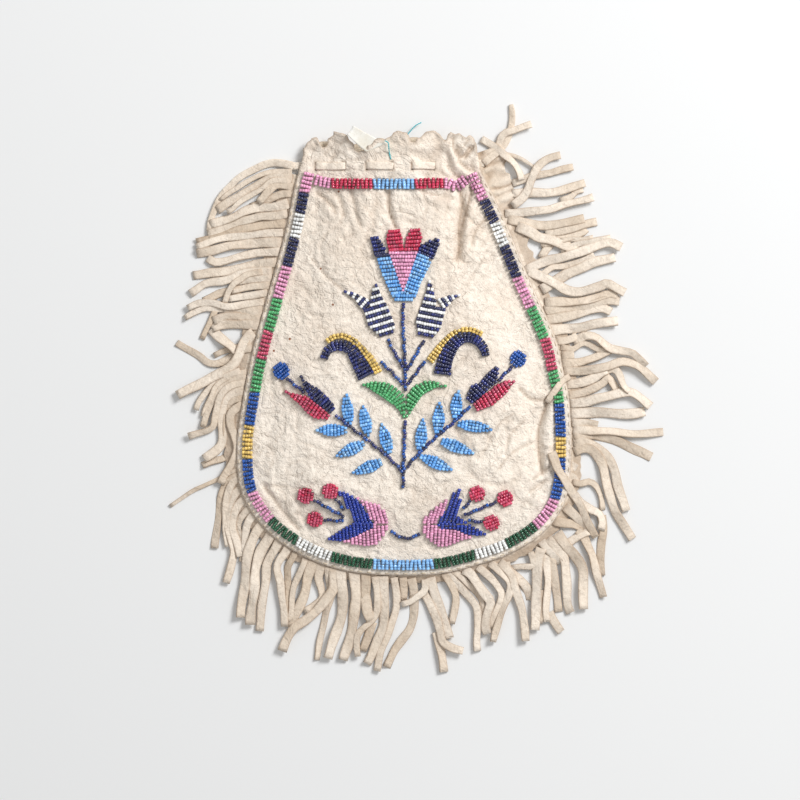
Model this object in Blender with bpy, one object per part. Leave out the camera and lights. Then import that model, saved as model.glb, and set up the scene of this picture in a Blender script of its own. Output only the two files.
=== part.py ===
"""Beaded drawstring bag of tanned hide, lying on its back with the beaded face up.

Two pear-shaped hide panels are sewn together down the sides and across the bottom, with a cut hide
fringe in the seam. The mouth at the top is left open, and a hide drawstring is laced through slits in
the front panel. Flowers and a border of glass seed beads are sewn to the front.

Seen from the beaded face, +X points right, +Y to the mouth and +Z away from the table.
Sizes are written in millimetres and turned into metres where a mesh is made.
"""

import math
import random

import bpy
import numpy as np
from mathutils import Vector
from mathutils.bvhtree import BVHTree
from mathutils.geometry import delaunay_2d_cdt

MM = 0.001

# Driving dimensions
BAG_WIDTH = 177.0
BAG_HEIGHT = 242.0
HIDE_THICKNESS = 1.3
FRINGE_THICKNESS = 1.2
CLEARANCE = 0.3
BEAD_DIAMETER = 2.0
BORDER_WIDTH = 5.8
RIM = 3.0
SEAM_WIDTH = 6.0
CROWN = 6.0
CROWN_RUN = 38.0
FOLD_FADE = 10.0
FRINGE_LENGTH = 49.0
FRINGE_BAND = 6.0
FRINGE_START = 4.0
THONG_PITCH = 4.6
THONG_CUT = 0.5
DRAWSTRING_WIDTH = 3.8
DRAWSTRING_THICKNESS = 1.1
DRAWSTRING_END_DIAMETER = 3.8
LACING_STEP = 3.0
LACING_TAIL = 8.0
SLIT_ROOM = 1.2
CORNER_LAP = 2.0
STEM_WIDTH = 1.7
BERRY_DIAMETER = 8.6
BALL_DIAMETER = 8.8
LEAF_WIDTH = 6.6
TAG_THICKNESS = 0.3
THREAD_DIAMETER = 0.6

# Mesh fineness
PANEL_MESH = 9.0
BACK_MESH = 27.0
SEAM_MESH = 4.5
MOUTH_MESH = 2.4
PATCH_MESH = 5.0
BORDER_MESH = 5.0
TRACE = 0.5
# How far round a place the hide is felt for its highest or lowest point
FEEL = 2.6

# Colours of the pieces, as linear red, green and blue
COLOURS = {
    "hide": (0.72, 0.62, 0.50),
    "hide_back": (0.66, 0.56, 0.44),
    "thong": (0.70, 0.61, 0.49),
    "paper": (0.85, 0.84, 0.80),
    "thread": (0.10, 0.55, 0.62),
    "navy": (0.012, 0.014, 0.10),
    "royal": (0.012, 0.045, 0.36),
    "blue": (0.10, 0.32, 0.75),
    "light_blue": (0.22, 0.50, 0.85),
    "pink": (0.75, 0.22, 0.45),
    "red": (0.58, 0.025, 0.09),
    "green": (0.04, 0.38, 0.12),
    "dark_green": (0.004, 0.09, 0.03),
    "yellow": (0.75, 0.48, 0.09),
    "white": (0.85, 0.85, 0.83),
}

# Width and height of the bag that the outlines below were traced from
TRACED_SIZE = (177.0, 242.0)


def drawn(points):
    """Traced points, stretched to the width and height of the bag."""
    return np.array(points, float) * (BAG_WIDTH / TRACED_SIZE[0], BAG_HEIGHT / TRACED_SIZE[1])


# Centre line of the bead border, from the top left corner round the bottom to the top right corner
BORDER_LINE = drawn([
    (-52, 108.5), (-55, 96.5), (-60, 72.5), (-69.5, 38.5), (-78.5, 5), (-85, -31), (-86, -48),
    (-83.5, -66.5), (-72.5, -83), (-57.5, -94.5), (-39.5, -102.5), (-17, -106.5), (16.5, -106.5),
    (40, -101), (56, -95.5), (72.5, -85), (83, -70), (86, -47), (85, -17.5), (81.5, -0.5),
    (77, 17.5), (62, 51), (49.5, 81.5), (36.5, 108),
])
# The run of border under the mouth, left to right, drawn on into the side runs
BORDER_TOP_LINE = drawn([
    (-51, 105), (-39.5, 102.5), (-17, 102), (6, 102), (22.5, 102.5), (28.5, 101), (34.5, 105),
])

# Blocks of colour along the border and the length of each; they stretch with the border
LEFT_BLOCKS = [
    ("pink", 12), ("navy", 12), ("white", 12.5), ("navy", 16.5), ("pink", 18.5), ("green", 17),
    ("red", 18), ("green", 18.5), ("royal", 18), ("yellow", 17), ("royal", 18.5), ("pink", 20),
    ("dark_green", 18.5), ("white", 20), ("dark_green", 22.5),
]
BOTTOM_BLOCKS = [("light_blue", 33.5)]
RIGHT_BLOCKS = [
    ("dark_green", 24), ("white", 17), ("dark_green", 19.5), ("pink", 18), ("royal", 23.5),
    ("yellow", 10), ("royal", 19.5), ("green", 17.5), ("red", 18.5), ("green", 17.5), ("pink", 19),
    ("navy", 18.5), ("white", 14.5), ("navy", 14), ("pink", 15),
]
TOP_BLOCKS = [("pink", 9.5), ("red", 22), ("light_blue", 23), ("red", 16.5), ("pink", 14)]

# Scalloped edges of the mouth, left to right, between the two upper corners
FRONT_MOUTH = drawn([
    (-56, 115.5), (-54.5, 122), (-51.5, 127), (-48.5, 127.5), (-44.5, 122.5), (-42.5, 124),
    (-39.5, 129), (-36, 130.5), (-32, 129), (-28.5, 125), (-25.5, 120.5), (-21, 121), (-15.5, 126),
    (-9, 127), (-5.5, 130), (-1.5, 131.5), (2, 129), (6, 124.5), (8, 127), (12, 130.5), (16, 131),
    (20, 129), (22.5, 124.5), (26.5, 127), (31.5, 128), (36.5, 125), (40.5, 118.5),
])
BACK_MOUTH = drawn([
    (-56, 115.5), (-53, 121), (-46, 125.5), (-38, 125), (-30, 123.5), (-22, 126), (-13, 127.5),
    (-5, 125.5), (5, 128), (14, 126.5), (24, 126.5), (34, 124), (40.5, 118.5),
])

# Folds of the front hide: two ends, height (a furrow is negative) and half width
FRONT_FOLDS = [
    ((30, 98), (31, 60), -1.8, 5.0),
    ((40, 92), (38, 66), 1.0, 6.0),
    ((8, 98), (26, 93), 1.0, 5.0),
    ((-10, 99), (-9, 78), -1.1, 5.0),
    ((-33, 98), (-29, 76), -0.9, 5.0),
    ((-46, 96), (-49, 76), -0.8, 5.0),
    ((-22, 98), (-20, 84), 0.8, 5.0),
    ((72, -30), (76, -62), -1.2, 6.0),
    ((50, -42), (66, -34), -0.8, 6.0),
    ((-60, -60), (-52, -80), -0.8, 6.0),
]

# Lean of the thongs from square to the seam, towards the way round, as share of the strip and degrees
LEFT_LEAN = [(0, 38), (0.1, 33), (0.25, 33), (0.5, 25), (0.62, 28), (0.72, 20), (0.85, 14), (1, -8)]
RIGHT_LEAN = [(0, 9), (0.12, 0), (0.25, -15), (0.38, -38), (0.48, -40), (0.6, -21), (0.8, -24), (1, -16)]
# Length of the thongs as share of the strip and of the full length
LEFT_REACH = [(0, 0.8), (0.05, 0.82), (0.12, 0.84), (0.16, 1)]
RIGHT_REACH = [(0, 1), (0.9, 1), (1, 0.85)]
# How far one thong differs from the next: in lean, and in length as shares of the full one
LEAN_SPREAD = 4.0
REACH_SPREAD = (0.92, 1.06)
# A thong in three steps: the share of its length, of its lean and of its way down to the table
THONG_STEPS = [(0.2, 0.3, 0.85), (0.35, 0.9, 1), (0.45, 1.25, 1)]
# Height of the band's outer edge as share of its height in the seam
BAND_DROOP = 0.6
# Where the two strips meet, as share of the way round the seam
MEETING = 0.487

# Slits in the front hide, left to right: the drawstring shows between the first and second of each pair
SLITS = drawn([(-48.5, 112), (-33, 112), (-20.5, 112), (-6.5, 112), (4.5, 112), (16.5, 112)])

# Free ends of the drawstring, from the bag outwards
LEFT_END = drawn([
    (-60.4, 112), (-64, 113), (-71, 114), (-77, 112.8), (-82, 110.5), (-87, 108), (-91.5, 105),
    (-95.5, 101), (-99, 97.5), (-101.5, 94), (-103, 91), (-104.8, 86.5), (-106.5, 81.5), (-107.6, 76.5),
])
RIGHT_END = drawn([
    (43.8, 113.5), (47, 116.5), (51.5, 120), (55.5, 124.5), (58, 130), (59.3, 136), (59.5, 141), (59, 146),
])

# Bead motifs: outlines in the plane of the panel
TULIP_CUP = drawn([
    (-15.5, 62.5), (-8, 64.5), (-0.5, 43), (7.5, 64.5), (15.5, 60), (9.5, 48.5), (6.5, 40.5),
    (4, 37.5), (-4.5, 37.5), (-7, 41.5), (-11.5, 51.5),
])
TULIP_HEART = drawn([(-8.5, 65), (7.5, 65), (-0.5, 42.5)])
TULIP_RED_LEFT = drawn([
    (-9, 75.5), (-5.5, 77), (-2.5, 77), (-0.8, 71), (-0.4, 65.3), (-8.3, 65.3), (-9.5, 71.5),
])
TULIP_RED_RIGHT = drawn([(4, 77.5), (8.5, 77.5), (10, 72), (7.5, 65.3), (0.4, 65.3), (1, 71.5)])
TULIP_NAVY_LEFT = drawn([(-18.5, 72), (-14.5, 73.5), (-12.5, 70), (-8.8, 65), (-16, 62.5), (-17.5, 68.5)])
TULIP_NAVY_RIGHT = drawn([(14, 71), (18.5, 72), (19.5, 69), (15.8, 60.3), (7.8, 64.6), (9, 68)])
BUD_LEFT = drawn([
    (-32.5, 43), (-26, 41.5), (-18.5, 37.5), (-17.5, 43), (-15, 47.5), (-12.5, 40.5), (-9, 34.5),
    (-5.5, 25.5), (-5, 21.5), (-12.5, 18), (-19, 23.5), (-22, 32.5), (-26.5, 38.5),
])
BUD_RIGHT = drawn([
    (32, 41.5), (25.5, 40.5), (17, 38), (16, 44), (14, 49.5), (11, 39), (6.5, 27), (8, 19), (15.5, 17.5),
    (20, 23), (23, 34.5), (26.5, 38.5),
])
CALYX = drawn([
    (-23, -8), (-17.5, -6.5), (-9, -7), (-3.5, -10.5), (0, -14), (1, -14.5), (5.5, -9), (11.5, -6),
    (18, -6.5), (23.5, -9), (17.5, -9.5), (10, -13.5), (6.5, -19), (2.5, -24.5), (0.5, -26.5),
    (-1, -25), (-5, -19.5), (-11.5, -15), (-18.5, -10.5),
])
SIDE_NAVY_LEFT = drawn([
    (-56.5, -3.5), (-53.5, -6.5), (-46.5, -11), (-42, -15), (-38.5, -19), (-38, -22), (-40.5, -23.5),
    (-45.5, -20), (-51, -15.5), (-54.5, -10.5),
])
SIDE_RED_LEFT = drawn([
    (-65.5, -11.5), (-60.5, -13), (-54, -14.5), (-46.5, -20), (-41, -24.5), (-42, -27), (-49, -26.5),
    (-53.5, -23), (-56.5, -19.5), (-60.5, -16),
])
SIDE_NAVY_RIGHT = drawn([
    (51, 1.5), (50.5, -6), (38, -17.5), (35, -17.5), (35, -14), (37.5, -9), (42, -7.5), (46, -2.5),
])
SIDE_RED_RIGHT = drawn([
    (61, -6), (56, -6), (50.5, -8.5), (38, -18.8), (40, -22.5), (49, -19), (55, -13.5), (59, -8.5),
])
FLOWER_BLUE_LEFT = drawn([
    (-36.5, -66.5), (-32, -67), (-25.5, -71), (-21, -76.5), (-16.5, -86), (-27.5, -91.5), (-34.5, -94),
    (-42, -93), (-34, -87.5), (-27.5, -84), (-30.5, -76.5), (-34, -70),
])
FLOWER_PINK_LEFT = drawn([
    (-27.5, -69.5), (-21.5, -72), (-14, -74), (-10, -78), (-8.5, -83.5), (-10, -89.5), (-15, -95.5),
    (-21, -96.5), (-28, -95.5), (-34, -94), (-27, -91), (-17, -86), (-21, -76.5),
])
FLOWER_BLUE_RIGHT = drawn([
    (33, -64), (29, -66), (25.5, -69), (23.5, -73.5), (21.5, -78.5), (18, -85), (20, -87), (29, -87.5),
    (34.5, -90), (40.5, -91), (45.5, -90.5), (36.5, -85), (30, -81), (30, -76), (31, -70.5),
])
FLOWER_PINK_RIGHT = drawn([
    (25, -70), (20, -73.5), (14, -78), (10.5, -82.5), (10, -88), (14, -93.5), (19, -97), (24, -96.5),
    (31.5, -93.5), (37, -92), (29, -88), (19, -87), (18, -85), (22, -77),
])

# Curled petals: centre line from the tip to the base, and the width at each end
PETAL_NAVY_LEFT = drawn([
    (-44, 6), (-42, 11), (-37, 13.5), (-30.5, 12.5), (-26.5, 7.5), (-23.5, 1.5), (-20.5, -4),
])
PETAL_YELLOW_LEFT = drawn([
    (-42.5, 15.5), (-37.5, 18.5), (-32, 18.5), (-27, 15.5), (-22.5, 10.5), (-17.5, 5), (-14, -2),
])
PETAL_NAVY_RIGHT = drawn([
    (45, 7.5), (44, 11.5), (41, 15.5), (36, 18), (31, 17.5), (27, 14), (24, 9), (22, 3.5), (21, -2.5),
])
PETAL_YELLOW_RIGHT = drawn([(43, 19.5), (37, 22), (30.5, 21.5), (24.5, 17.5), (19, 11.5), (14, 4.5)])
PETAL_NAVY_WIDTHS = (3.8, 9.0)
PETAL_YELLOW_WIDTHS = (2.6, 4.2)

# Stems: centre lines of single rows of beads
UPPER_STEMS = [
    drawn([(-0.5, 36.8), (-0.5, 22), (0.5, 5.5), (0.5, -11)]),
    drawn([(-9, 17), (-5.5, 10), (0.5, 0)]),
    drawn([(11, 16.5), (7.5, 10), (0.8, -1.5)]),
    drawn([(-13, 4.5), (-6.5, -1.5), (0.5, -9.5)]),
    drawn([(11.5, 5), (6.5, -2), (0.5, -9.5)]),
]
LOWER_STEMS = [
    drawn([(0.5, -27.5), (0, -44), (-0.5, -65)]),
    drawn([(-0.5, -56), (-9, -47.5), (-20.5, -38), (-28.5, -32), (-37, -25)]),
    drawn([(-0.5, -56), (6, -48), (18.5, -36), (28, -28), (36, -20)]),
]
# Leaves: tip and base
LEAVES = drawn([
    ((-32, -13), (-30, -29.5)), ((-23, -19.5), (-19.5, -36)), ((-12.5, -29), (-8, -45.5)),
    ((-48.5, -33), (-31, -33)), ((-37.5, -47.5), (-21.5, -40)), ((-28.5, -57), (-11.5, -50)),
    ((10.5, -26.5), (8.5, -44.5)), ((19.5, -17.5), (18.5, -35)), ((29.5, -11), (28, -26.5)),
    ((26.5, -55), (9.5, -47.5)), ((38.5, -46), (19.5, -38.5)), ((48.5, -32.5), (29.5, -29.5)),
])
BALL_STEM_LEFT = drawn([(-67.5, -0.5), (-64, -4.5), (-58.5, -9)])
BALL_STEM_RIGHT = drawn([(62.5, 6), (59.5, 2), (55, -2)])
# Berries: centre, then the stem's far end
BERRIES_LEFT = drawn([((-54, -69), (-32, -81)), ((-40.5, -66.5), (-32.5, -77)), ((-49, -82), (-33.5, -83))])
BERRIES_RIGHT = drawn([((40, -68), (32.5, -76)), ((55.5, -70.5), (33.5, -79.5)), ((48, -84), (34.5, -82.5))])
TENDRIL = drawn([(-7.5, -88.5), (-1, -92), (4.5, -92), (9, -89.5)])

# The paper tag and its thread
TAG_OUTLINE = drawn([(-31, 129), (-28, 134), (-9.5, 124.5), (-12.5, 121), (-20.5, 119.5), (-26, 123)])
THREAD_OVER = drawn([(-8.6, 124.2), (-8.2, 120), (-7.2, 116.5)])
THREAD_UNDER = drawn([(-5.5, 118), (-2, 123), (2.5, 130), (6, 134), (9.5, 136)])

# Heights of the layers at the seam
FRINGE_UNDER = HIDE_THICKNESS + CLEARANCE
SEAM_UNDER = FRINGE_UNDER + FRINGE_THICKNESS + CLEARANCE


def smooth_line(points, spacing):
    """Evenly spaced points on a smooth curve through hand-chosen ones."""
    knots = np.array(points, float)
    padded = np.vstack([2 * knots[0] - knots[1], knots, 2 * knots[-1] - knots[-2]])
    steps = np.linspace(0, 1, 16, endpoint=False)[:, None]
    dense = []
    for a, b, c, d in zip(padded, padded[1:], padded[2:], padded[3:]):
        dense.append(0.5 * (2 * b + (c - a) * steps + (2 * a - 5 * b + 4 * c - d) * steps ** 2
                            + (3 * b - a - 3 * c + d) * steps ** 3))
    dense = np.vstack([*dense, knots[-1:]])
    return resample(dense, spacing)


def travelled(line):
    """Distance from the start of a line to each of its points."""
    return np.concatenate([[0], np.cumsum(np.linalg.norm(np.diff(line, axis=0), axis=1))])


def at_distances(line, distances):
    """Points of a line at the given distances from its start."""
    run = travelled(line)
    return np.stack([np.interp(distances, run, line[:, k]) for k in range(line.shape[1])], axis=1)


def resample(line, spacing):
    """The same line with evenly spaced points."""
    length = travelled(line)[-1]
    return at_distances(line, np.linspace(0, length, max(2, round(length / spacing) + 1)))


def rightward(line):
    """Unit vectors square to a line, to the right of the way it runs."""
    ahead = np.gradient(line, axis=0)
    ahead /= np.linalg.norm(ahead, axis=1)[:, None]
    return np.stack([ahead[:, 1], -ahead[:, 0]], axis=1)


def distance_to(line, points):
    """Distance from each point to a line."""
    a, b = line[:-1], line[1:]
    span = b - a
    share = ((points[:, None] - a) * span).sum(2) / (span ** 2).sum(1)
    nearest = a + np.clip(share, 0, 1)[:, :, None] * span
    return np.linalg.norm(points[:, None] - nearest, axis=2).min(1)


def area_of(outline):
    """Signed area, above zero where the outline runs counterclockwise."""
    x, y = np.asarray(outline, float).T
    return 0.5 * float((x * np.roll(y, -1) - y * np.roll(x, -1)).sum())


def counterclockwise(outline):
    """The outline as an array, turned to run counterclockwise."""
    outline = np.array(outline, float)
    return outline if area_of(outline) > 0 else outline[::-1]


def split_edges(outline, spacing):
    """The outline with its long edges split."""
    points = []
    for a, b in zip(outline, np.roll(outline, -1, axis=0)):
        parts = max(1, math.ceil(np.linalg.norm(b - a) / spacing))
        points += [a + (b - a) * k / parts for k in range(parts)]
    return np.array(points)


def grown(outline, distance):
    """The outline moved outwards by a distance."""
    outline = counterclockwise(outline)
    before = outline - np.roll(outline, 1, axis=0)
    after = np.roll(outline, -1, axis=0) - outline
    before /= np.linalg.norm(before, axis=1)[:, None]
    after /= np.linalg.norm(after, axis=1)[:, None]
    square = np.stack([before[:, 1] + after[:, 1], -before[:, 0] - after[:, 0]], axis=1) / 2
    return outline + square * distance / np.maximum((square ** 2).sum(1), 0.3)[:, None]


def inside(outline, points):
    """Which of the points lie inside an outline."""
    x, y = points[:, 0, None], points[:, 1, None]
    a, b = outline, np.roll(outline, -1, axis=0)
    crosses = (a[:, 1] > y) != (b[:, 1] > y)
    rise = np.where(b[:, 1] == a[:, 1], 1, b[:, 1] - a[:, 1])
    left = x < a[:, 0] + (y - a[:, 1]) * (b[:, 0] - a[:, 0]) / rise
    return (crosses & left).sum(1) % 2 == 1


def strip(line, width_start, width_end=None):
    """Outline of a ribbon along a line, its width changing evenly from one end to the other."""
    line = np.asarray(line, float)
    width_end = width_start if width_end is None else width_end
    half = np.linspace(width_start, width_end, len(line))[:, None] / 2
    side = rightward(line) * half
    return counterclockwise(np.vstack([line + side, (line - side)[::-1]]))


def disc(centre, diameter, sides=12):
    """Outline of a round patch."""
    turn = np.arange(sides) * 2 * math.pi / sides
    return np.array(centre) + np.stack([np.cos(turn), np.sin(turn)], axis=1) * diameter / 2


def leaf(tip, base):
    """Outline of a pointed leaf, widest a little nearer its base."""
    tip, base = np.array(tip, float), np.array(base, float)
    shares = np.array([0, 0.18, 0.4, 0.62, 0.84, 1])
    widths = np.array([0.12, 0.5, 0.88, 1, 0.72, 0.3]) * LEAF_WIDTH / 2
    ahead = (base - tip) / np.linalg.norm(base - tip)
    side = np.array([ahead[1], -ahead[0]])
    line = tip + (base - tip) * shares[:, None]
    return counterclockwise(np.vstack([line + side * widths[:, None], (line - side * widths[:, None])[::-1]]))


def largest_piece(points, faces):
    """Keep the faces that hang together by their edges in the largest group, and the points they use."""
    owner = {}
    parent = list(range(len(faces)))

    def root(k):
        while parent[k] != k:
            k = parent[k]
        return k

    for k, face in enumerate(faces):
        for edge in zip(face, face[1:] + face[:1]):
            other = owner.setdefault(frozenset(edge), k)
            parent[root(k)] = root(other)
    groups = {}
    for k, face in enumerate(faces):
        groups.setdefault(root(k), []).append(face)
    best = max(groups.values(), key=lambda group: sum(abs(area_of(points[list(f)])) for f in group))
    used = sorted({index for face in best for index in face})
    place = {old: new for new, old in enumerate(used)}
    return points[used], [[place[index] for index in face] for face in best]


def filled(outlines, spacing, cut_out=()):
    """Triangles over all the outlines together, less what is cut out of them."""
    shapes = [split_edges(counterclockwise(o), spacing) for o in outlines]
    holes = [split_edges(counterclockwise(o), spacing) for o in cut_out]
    low = np.min([s.min(0) for s in shapes], axis=0)
    high = np.max([s.max(0) for s in shapes], axis=0)
    rows = np.arange(low[1], high[1], spacing * 0.87)
    grid = [(x + (k % 2) * spacing / 2, y) for k, y in enumerate(rows)
            for x in np.arange(low[0], high[0], spacing)]
    grid = np.array(grid)
    keep = np.any([inside(s, grid) for s in shapes], axis=0)
    for outline in [*shapes, *holes]:
        closed = np.vstack([outline, outline[:1]])
        keep &= distance_to(closed, grid) > spacing * 0.45
    for hole in holes:
        keep &= ~inside(hole, grid)
    vertices, loops = [], []
    for outline in [*shapes, *holes]:
        loops.append(list(range(len(vertices), len(vertices) + len(outline))))
        vertices += [Vector(p) for p in outline]
    vertices += [Vector(p) for p in grid[keep]]
    points, _, faces, _, _, origin = delaunay_2d_cdt(vertices, [], loops, 1, 0.001)
    points = np.array([tuple(p) for p in points])
    wanted = [list(face) for face, source in zip(faces, origin)
              if source and max(source) < len(shapes)]
    return largest_piece(points, wanted)


def material(colour):
    """One finish for each colour, made the first time that it is asked for."""
    made = bpy.data.materials.get(colour)
    if made is None:
        made = bpy.data.materials.new(colour)
        made.use_nodes = True
        shader = made.node_tree.nodes["Principled BSDF"]
        shader.inputs["Base Color"].default_value = (*COLOURS[colour], 1)
        soft = colour in ("hide", "hide_back", "thong", "paper", "thread")
        shader.inputs["Roughness"].default_value = 0.9 if soft else 0.25
        shader.inputs["Metallic"].default_value = 0
    return made


def thick_sheet(name, points, faces, thickness, colours, face_colours=None):
    """A closed solid between a surface and the same surface raised by its thickness."""
    points = np.asarray(points, float)
    count = len(points)
    raised = points + np.stack([np.zeros(count), np.zeros(count), np.broadcast_to(thickness, count)], axis=1)
    upward = [list(f) if area_of(points[list(f), :2]) > 0 else list(f)[::-1] for f in faces]
    shades = face_colours or [0] * len(faces)
    directed = {}
    for face, shade in zip(upward, shades):
        for a, b in zip(face, face[1:] + face[:1]):
            directed[(a, b)] = shade
    walls = [(a, b, shade) for (a, b), shade in directed.items() if (b, a) not in directed]
    all_faces = [[index + count for index in face] for face in upward]
    all_faces += [face[::-1] for face in upward]
    all_faces += [[a, b, b + count, a + count] for a, b, _ in walls]
    all_shades = shades + shades + [shade for _, _, shade in walls]
    mesh = bpy.data.meshes.new(name)
    mesh.from_pydata((np.vstack([points, raised]) * MM).tolist(), [], all_faces)
    for colour in colours:
        mesh.materials.append(material(colour))
    mesh.polygons.foreach_set("material_index", all_shades)
    mesh.update()
    piece = bpy.data.objects.new(name, mesh)
    bpy.context.collection.objects.link(piece)
    return piece


def tube(name, route, diameter, colour, resolution=2):
    """A round cord along a route of points."""
    curve = bpy.data.curves.new(name, "CURVE")
    curve.dimensions = "3D"
    curve.bevel_depth = diameter / 2 * MM
    curve.bevel_resolution = resolution
    curve.use_fill_caps = True
    spline = curve.splines.new("POLY")
    spline.points.add(len(route) - 1)
    for point, place in zip(spline.points, route):
        point.co = (*(np.array(place) * MM), 1)
    curve.materials.append(material(colour))
    piece = bpy.data.objects.new(name, curve)
    bpy.context.collection.objects.link(piece)
    return piece


def seam_edge():
    """Outer edge of the sewn sides, outside the bead border."""
    line = smooth_line(BORDER_LINE, SEAM_MESH)
    return line + rightward(line) * (BORDER_WIDTH / 2 + RIM)


def panel_outline(mouth):
    """The sewn edge closed by a scalloped mouth."""
    return np.vstack([seam_edge(), smooth_line(mouth, MOUTH_MESH)[::-1]])


def front_underside(points):
    """Height of the underside of the front hide: flat in the seam, crowned over the empty pouch."""
    from_seam = distance_to(seam_edge(), points)
    share = np.clip((from_seam - SEAM_WIDTH) / CROWN_RUN, 0, 1)
    height = SEAM_UNDER + CROWN * share * share * (3 - 2 * share)
    freedom = np.clip((from_seam - SEAM_WIDTH) / FOLD_FADE, 0, 1)
    for start, end, rise, half_width in FRONT_FOLDS:
        away = distance_to(drawn([start, end]), points)
        height += rise * freedom * np.exp(-(away / half_width) ** 2)
    return height


def slit_outline(place):
    """A slit in the front hide, wide enough for the drawstring to pass through on a slant."""
    half = np.array([LACING_STEP / 2 + CLEARANCE, DRAWSTRING_WIDTH / 2 + SLIT_ROOM])
    corners = np.array([(-1, -1), (1, -1), (1, 1), (-1, 1)])
    return place + corners * half


def panels():
    """The two hides, and a function that gives the height of the front one's upper face."""
    points, faces = filled([panel_outline(BACK_MOUTH)], BACK_MESH)
    flat = np.column_stack([points, np.zeros(len(points))])
    thick_sheet("back_hide", flat, faces, HIDE_THICKNESS, ["hide_back"])
    points, faces = filled([panel_outline(FRONT_MOUTH)], PANEL_MESH, [slit_outline(place) for place in SLITS])
    under = np.column_stack([points, front_underside(points)])
    thick_sheet("front_hide", under, faces, HIDE_THICKNESS, ["hide"])
    tree = BVHTree.FromPolygons([tuple(p) for p in under], faces)
    ring = np.array([(0, 0)] + [(r * math.cos(t), r * math.sin(t)) for r in (FEEL / 2, FEEL)
                                for t in np.arange(0, 2 * math.pi, math.pi / 4)])

    def underside(x, y, pick):
        """Highest or lowest point of the underside near a place."""
        found = []
        for dx, dy in ring:
            hit = tree.ray_cast(Vector((x + dx, y + dy, 100)), Vector((0, 0, -1)))[0]
            if hit is not None:
                found.append(hit.z)
        if not found:
            found = [tree.find_nearest(Vector((x, y, SEAM_UNDER + CROWN)))[0].z]
        return pick(found)

    return underside


def patch(name, outlines, colour, underside, clear_of=()):
    """A field of beads lying on the front hide, kept clear of the fields beside it."""
    points, faces = filled(outlines, PATCH_MESH, [grown(o, CLEARANCE) for o in clear_of])
    seat = [underside(x, y, max) + HIDE_THICKNESS + CLEARANCE for x, y in points]
    thick_sheet(name, np.column_stack([points, seat]), faces, BEAD_DIAMETER, [colour])


def border_run(name, line, blocks, underside):
    """A run of border four beads wide, in blocks of colour."""
    ends = np.cumsum([size for _, size in blocks])
    ends *= travelled(line)[-1] / ends[-1]
    stops, shades = [0.0], []
    for block, end in enumerate(ends):
        parts = max(1, round((end - stops[-1]) / BORDER_MESH))
        stops += list(np.linspace(stops[-1], end, parts + 1)[1:])
        shades += [block] * parts
    centre = at_distances(line, stops)
    side = rightward(centre) * BORDER_WIDTH / 2
    points = np.stack([centre + side, centre - side], axis=1).reshape(-1, 2)
    faces = [[2 * k, 2 * k + 1, 2 * k + 3, 2 * k + 2] for k in range(len(stops) - 1)]
    seat = [underside(x, y, max) + HIDE_THICKNESS + CLEARANCE for x, y in points]
    thick_sheet(name, np.column_stack([points, seat]), faces, BEAD_DIAMETER,
                [colour for colour, _ in blocks], shades)


def border(underside):
    """The bead border: left and right runs, the bottom block between them, and the run under the mouth."""
    around = smooth_line(BORDER_LINE, TRACE)
    length = travelled(around)[-1]
    left, bottom, right = (sum(size for _, size in blocks)
                           for blocks in (LEFT_BLOCKS, BOTTOM_BLOCKS, RIGHT_BLOCKS))
    left_end = length * left / (left + bottom + right)
    right_start = length * (left + bottom) / (left + bottom + right)
    runs = [("border_left", 0, left_end, LEFT_BLOCKS),
            ("border_bottom", left_end + CLEARANCE, right_start, BOTTOM_BLOCKS),
            ("border_right", right_start + CLEARANCE, length, RIGHT_BLOCKS)]
    for name, start, end, blocks in runs:
        line = at_distances(around, np.linspace(start, end, round((end - start) / TRACE)))
        border_run(name, line, blocks, underside)
    top = smooth_line(BORDER_TOP_LINE, TRACE / 2)
    side = rightward(top) * BORDER_WIDTH / 2
    room = np.minimum(distance_to(around, top + side), distance_to(around, top - side))
    border_run("border_top", top[room > BORDER_WIDTH / 2 + CLEARANCE], TOP_BLOCKS, underside)


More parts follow.
